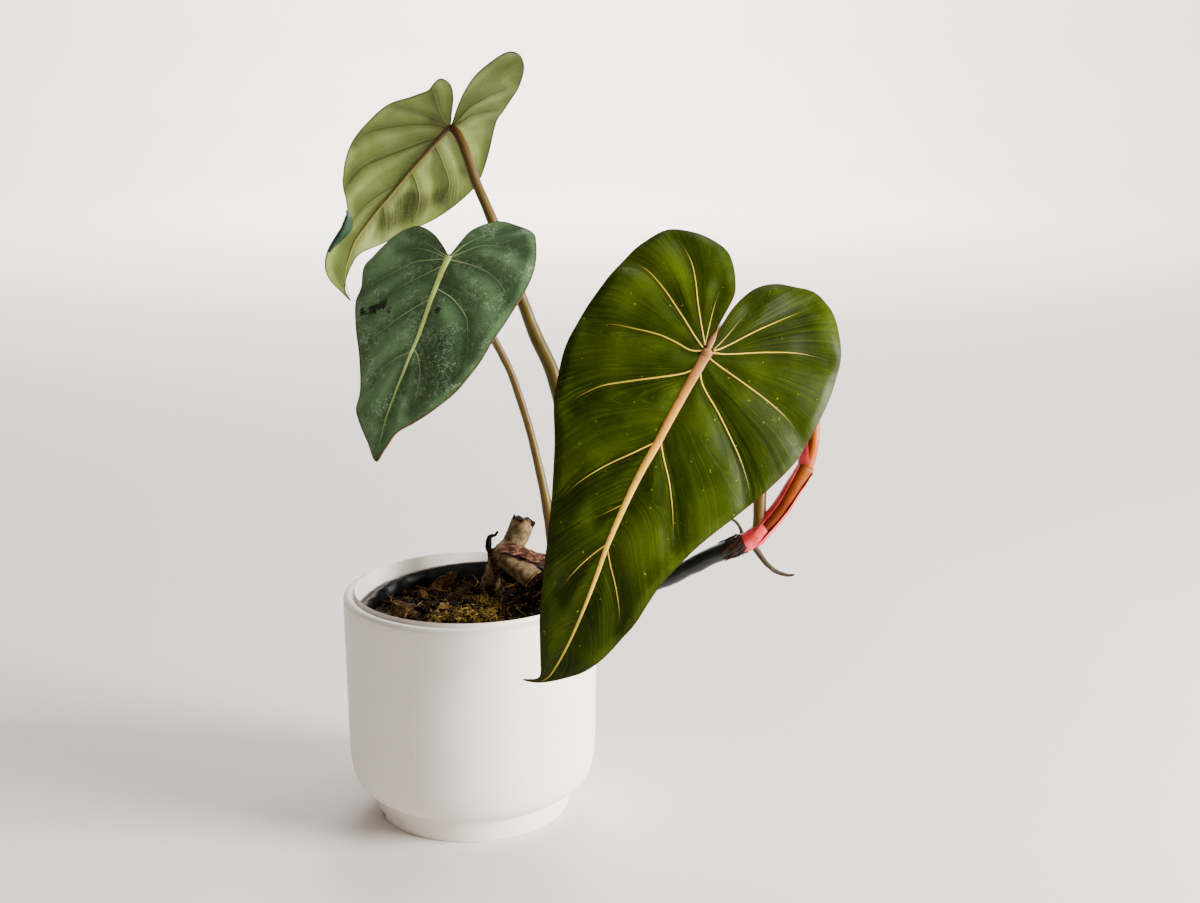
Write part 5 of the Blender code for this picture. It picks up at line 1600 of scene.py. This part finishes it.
class PHILODENDRON_OT_top_leaf(bpy.types.Operator):
    """Spread the high leaf that shows its olive underside, with its margin rolled near the tip"""
    bl_idname = "philodendron.top_leaf"
    bl_label = "High leaf"

    def execute(self, context):
        # In each blade's colours the fourth is painted shade along the vein valleys and in dark
        # spots, and the fifth colours the fine streaks and the painted light of bright spots.
        upper = blade_skin("leaf blade, satin green", "#0E1F14", "#152B1C", "#1F3A26", "#1A3020",
                           "#264430", 0.42)
        under = blade_skin("leaf underside, light through olive", "#5E6C2C", "#6E7E3E", "#809052",
                           "#262A04",
                           "#8E9A5E", 0.5, 0.2, 0.25, rim="#1E2A14", speck="#6A6E2A")
        rim = stalk_skin("leaf rim, dark green", "#16240F", "#1A2A14", "#16240F")
        leaf_set(TOP_LEAF, "high_leaf", [upper, under, rim],
                 vein_skin("leaf vein, olive", ("#4E4A16", "#66672A"), "#3E3A12", 0.5, "#62642A"),
                 vein_skin("midrib, olive brown", ("#4C3418", "#665824", "#74702E", "#747232"),
                           "#33240F"),
                 [0.34, 0.34, 0.36, 0.32, 0.26, 0.36, 0.30, 0.24, 0.32, 0.26, 0.22],
                 [1.6, 1.35, 1.15, 1.0, 0.9, 0.8, 0.65, 0.5, 0.35, 0.2],
                 [0.5, 0.5, 0.4, 0.4, 0.35, 0.3, 0.3, 0.25, 0.2, 0.1],
                 [2.0, 1.8, 1.6, 1.4, 1.2, 1.1, 1.0, 0.8, 0.6, 0.5], underside=True,
                 # Painted light and painted shade on the blade: spots by place, reach and share.
                 painted_light_spots=[(10, 25, 8, 0.5), (28, 20, 9, 0.6), (63, 14, 9, 0.4), (-40, 2, 14, 0.4),
                          (45, -14, 7, 0.4), (20, -2, 6, -0.6), (60, -9, 10, -1.4),
                          (75, -4, 8, -0.9),
                          (47, -24, 9, -0.9), (28, -27, 9, -0.6), (2, 10, 4, -0.7),
                          (-52, -6, 7, -0.5)])
        rolled_margin(TOP_LEAF, "high_leaf_hem", upper)
        return {"FINISHED"}


class PHILODENDRON_OT_shoot(bpy.types.Operator):
    """Grow the new shoot: pink bracts round an orange-brown stem and the rolled new leaf"""
    bl_idname = "philodendron.shoot"
    bl_label = "New shoot"

    def execute(self, context):
        pink = bract_skin()
        brown = stalk_skin("new stem, orange brown", "#300A00", "#662400", "#844200", "#2E0A00",
                           0.5, 0.15)
        orange = stalk_skin("rolled new leaf, orange", "#8A4000", "#9C5000", "#8A5400", "#6A3200",
                            0.45, 0.2)
        scar = vein_skin("new node, pale scar", ("#8A3A1E", "#8A4020"), "#5A1A0A")
        cup = cane("cup", [(136.6, -31, 150.9), (141, -31, 153), (145.5, -30.9, 157.0),
                           (148, -30.7, 160)],
                   [4.6, 5.0, 4.9, 4.2, 3.6], 40, 10)
        write_attribute(cup, "inside", 0.0)
        gutter = channel("gutter", [(142.5, -31, 153.8)] + SHOOT[1:-1] + [(167.6, -27.3, 188.4)],
                         lambda t: 3.8, lambda t: 5.1 - 0.6 * t, lambda t: 66 + 60 * t ** 3,
                         lambda t: 277 - 8 * t,
                         60, 15, 0.3)
        complete(join([cup, gutter]), "lower_bract", [pink], ["shoot_bract"], 50)
        stem = cane("internode", SHOOT, [3.6, 3.65, 3.7, 3.7, 3.7, 3.7, 3.9], 60, 8)
        roughen(stem, 0.2, 5.0, 4.0)
        complete(stem, "new_internode", [brown], ["shoot_stem"], 70)
        ring = cane("ring", [(166.4, -27.6, 186.6), (167.3, -27.3, 188.0), (168.1, -27.1, 189.3)],
                    [3.4, 3.95, 4.05, 3.5], 12, 8)
        complete(ring, "node_ring", [scar], degrees=70)
        tip = cane("spear", SPEAR, [3.5, 3.2, 3.0, 2.8, 2.7, 2.5, 2.2, 1.6, 0.8], 70, 8)
        roughen(tip, 0.2, 6.0, 7.0)
        complete(tip, "rolled_leaf", [orange], ["new_leaf_spear"], 70)
        upper = channel("upper", [(168.3, -26.6, 190.5), (168.9, -25.4, 200), (168.6, -22.6, 210),
                                  (167, -20, 221)],
                        lambda t: 3.7 + 0.3 * t, lambda t: 4.8 - 0.3 * t, lambda t: 115 + 60 * t,
                        lambda t: 210.0,
                        50, 15, 0.3, 6)
        complete(upper, "upper_bract_skin", [pink], ["upper_bract"], 50)
        return {"FINISHED"}


class PHILODENDRON_OT_roots(bpy.types.Operator):
    """Hang the two aerial roots under the node"""
    bl_idname = "philodendron.roots"
    bl_label = "Aerial roots"

    def execute(self, context):
        for name, route, radii, node, look in (
                ("long_root", LONG_ROOT, [1.9, 1.6, 1.4, 1.25, 1.1, 0.9, 0.4], "aerial_root_long",
                 root_skin("aerial root, dried brown", "#160E04", "#44320F")),
                ("short_root", SHORT_ROOT, [0.9, 0.85, 0.8, 0.75, 0.45], "aerial_root_short",
                 root_skin("aerial root, dried grey", "#3E3020", "#7C6648"))):
            body = cane(name, route, radii, 60, 5)
            roughen(body, 0.2, 1.6, len(name))
            complete(body, name, [look], [node], 70)
        return {"FINISHED"}


# The floor's radii and heights, in millimetres: flat, then rising far behind the part
FLOOR_PROFILE = [(4000, -0.2), (4300, 30), (4600, 160), (4800, 400), (4900, 800), (4920, 3000)]

# The camera's place in metres, its tilt downwards in degrees and its lens in millimetres
CAMERA_PLACE, CAMERA_TILT, CAMERA_LENS = (0.0668, -0.8195, 0.3870), 13.5, 50.0

# Lamps: place, the spot each looks at, width in metres, power and colour
LAMPS = (((1.4, -0.42, 0.52), (0.04, 0.0, 0.2), 0.75, 112.0, "#FFFBF4"),
         ((0.3, -1.3, 1.5), (0.05, 0.0, 0.25), 0.9, 3.5, "#FFF4E6"),
         ((0.35, 0.35, 1.5), (0.0, 0.0, 0.1), 0.8, 12.0, "#FFFFFF"),
         ((0.0, 3.3, 2.2), (0.0, 3.9, 0.0), 2.2, 400.0, "#FFFFFF"))


class PHILODENDRON_OT_stage(bpy.types.Operator):
    """Lay the pale floor and set the camera and the soft lights"""
    bl_idname = "philodendron.stage"
    bl_label = "Stage"

    def execute(self, context):
        floor = turned("floor", FLOOR_PROFILE, 96, solid=False)
        look, tree, shader = blank("floor paper, matt")
        pale = (*sizes().floor_colour, 1.0)
        feed(tree, shader, Roughness=0.85,
             Base_Color=mix_colour(tree, speckle(tree, 400.0, 2.0), pale, "#DAD6D1"))
        floor.data.materials.append(look)
        smooth(floor)

        world = bpy.data.worlds.new("soft room light")
        bpy.context.scene.world = world
        world.use_nodes = True
        sky = world.node_tree.nodes["Background"]
        sky.inputs["Color"].default_value = linear("#FFE0C0")
        sky.inputs["Strength"].default_value = 0.08
        for place, aim, width, power, tone in LAMPS:
            deselect()
            bpy.ops.object.light_add(type="AREA", location=place)
            lamp = bpy.context.object
            lamp.data.shape = "DISK"
            lamp.data.size = width
            lamp.data.energy = power
            lamp.data.color = linear(tone)[:3]
            way = Vector(aim) - Vector(place)
            lamp.rotation_euler = way.to_track_quat("-Z", "Y").to_euler()

        deselect()
        bpy.ops.object.camera_add(location=CAMERA_PLACE,
                                  rotation=(math.radians(90 - CAMERA_TILT), 0, 0))
        camera = bpy.context.object
        camera.data.lens = CAMERA_LENS
        camera.data.sensor_width = 36.0
        camera.data.dof.use_dof = False
        bpy.context.scene.camera = camera
        return {"FINISHED"}


class PHILODENDRON_PT_panel(bpy.types.Panel):
    """Lists the pieces in the order they are made"""
    bl_label = "Philodendron"
    bl_idname = "PHILODENDRON_PT_panel"
    bl_space_type = "VIEW_3D"
    bl_region_type = "UI"
    bl_category = "Philodendron"

    def draw(self, context):
        size = context.scene.philodendron
        for name in ("pot_sides", "blade_step", "blade_wall", "chip_count", "fibre_count",
                     "floor_colour"):
            self.layout.prop(size, name)
        for operator in PIECES:
            self.layout.operator(operator.bl_idname)


PIECES = (PHILODENDRON_OT_stage, PHILODENDRON_OT_pot, PHILODENDRON_OT_liner, PHILODENDRON_OT_mix,
          PHILODENDRON_OT_old_stem, PHILODENDRON_OT_vine, PHILODENDRON_OT_stalks,
          PHILODENDRON_OT_big_leaf, PHILODENDRON_OT_left_leaf, PHILODENDRON_OT_top_leaf,
          PHILODENDRON_OT_shoot, PHILODENDRON_OT_roots)
CLASSES = (PhilodendronSizes,) + PIECES + (PHILODENDRON_PT_panel,)


def register():
    for kind in CLASSES:
        bpy.utils.register_class(kind)
    bpy.types.Scene.philodendron = bpy.props.PointerProperty(type=PhilodendronSizes)


def unregister():
    del bpy.types.Scene.philodendron
    for kind in reversed(CLASSES):
        bpy.utils.unregister_class(kind)


def main():
    register()
    for piece in PIECES:
        group, name = piece.bl_idname.split(".")
        getattr(getattr(bpy.ops, group), name)()
    deselect()


if __name__ == "__main__":
    main()
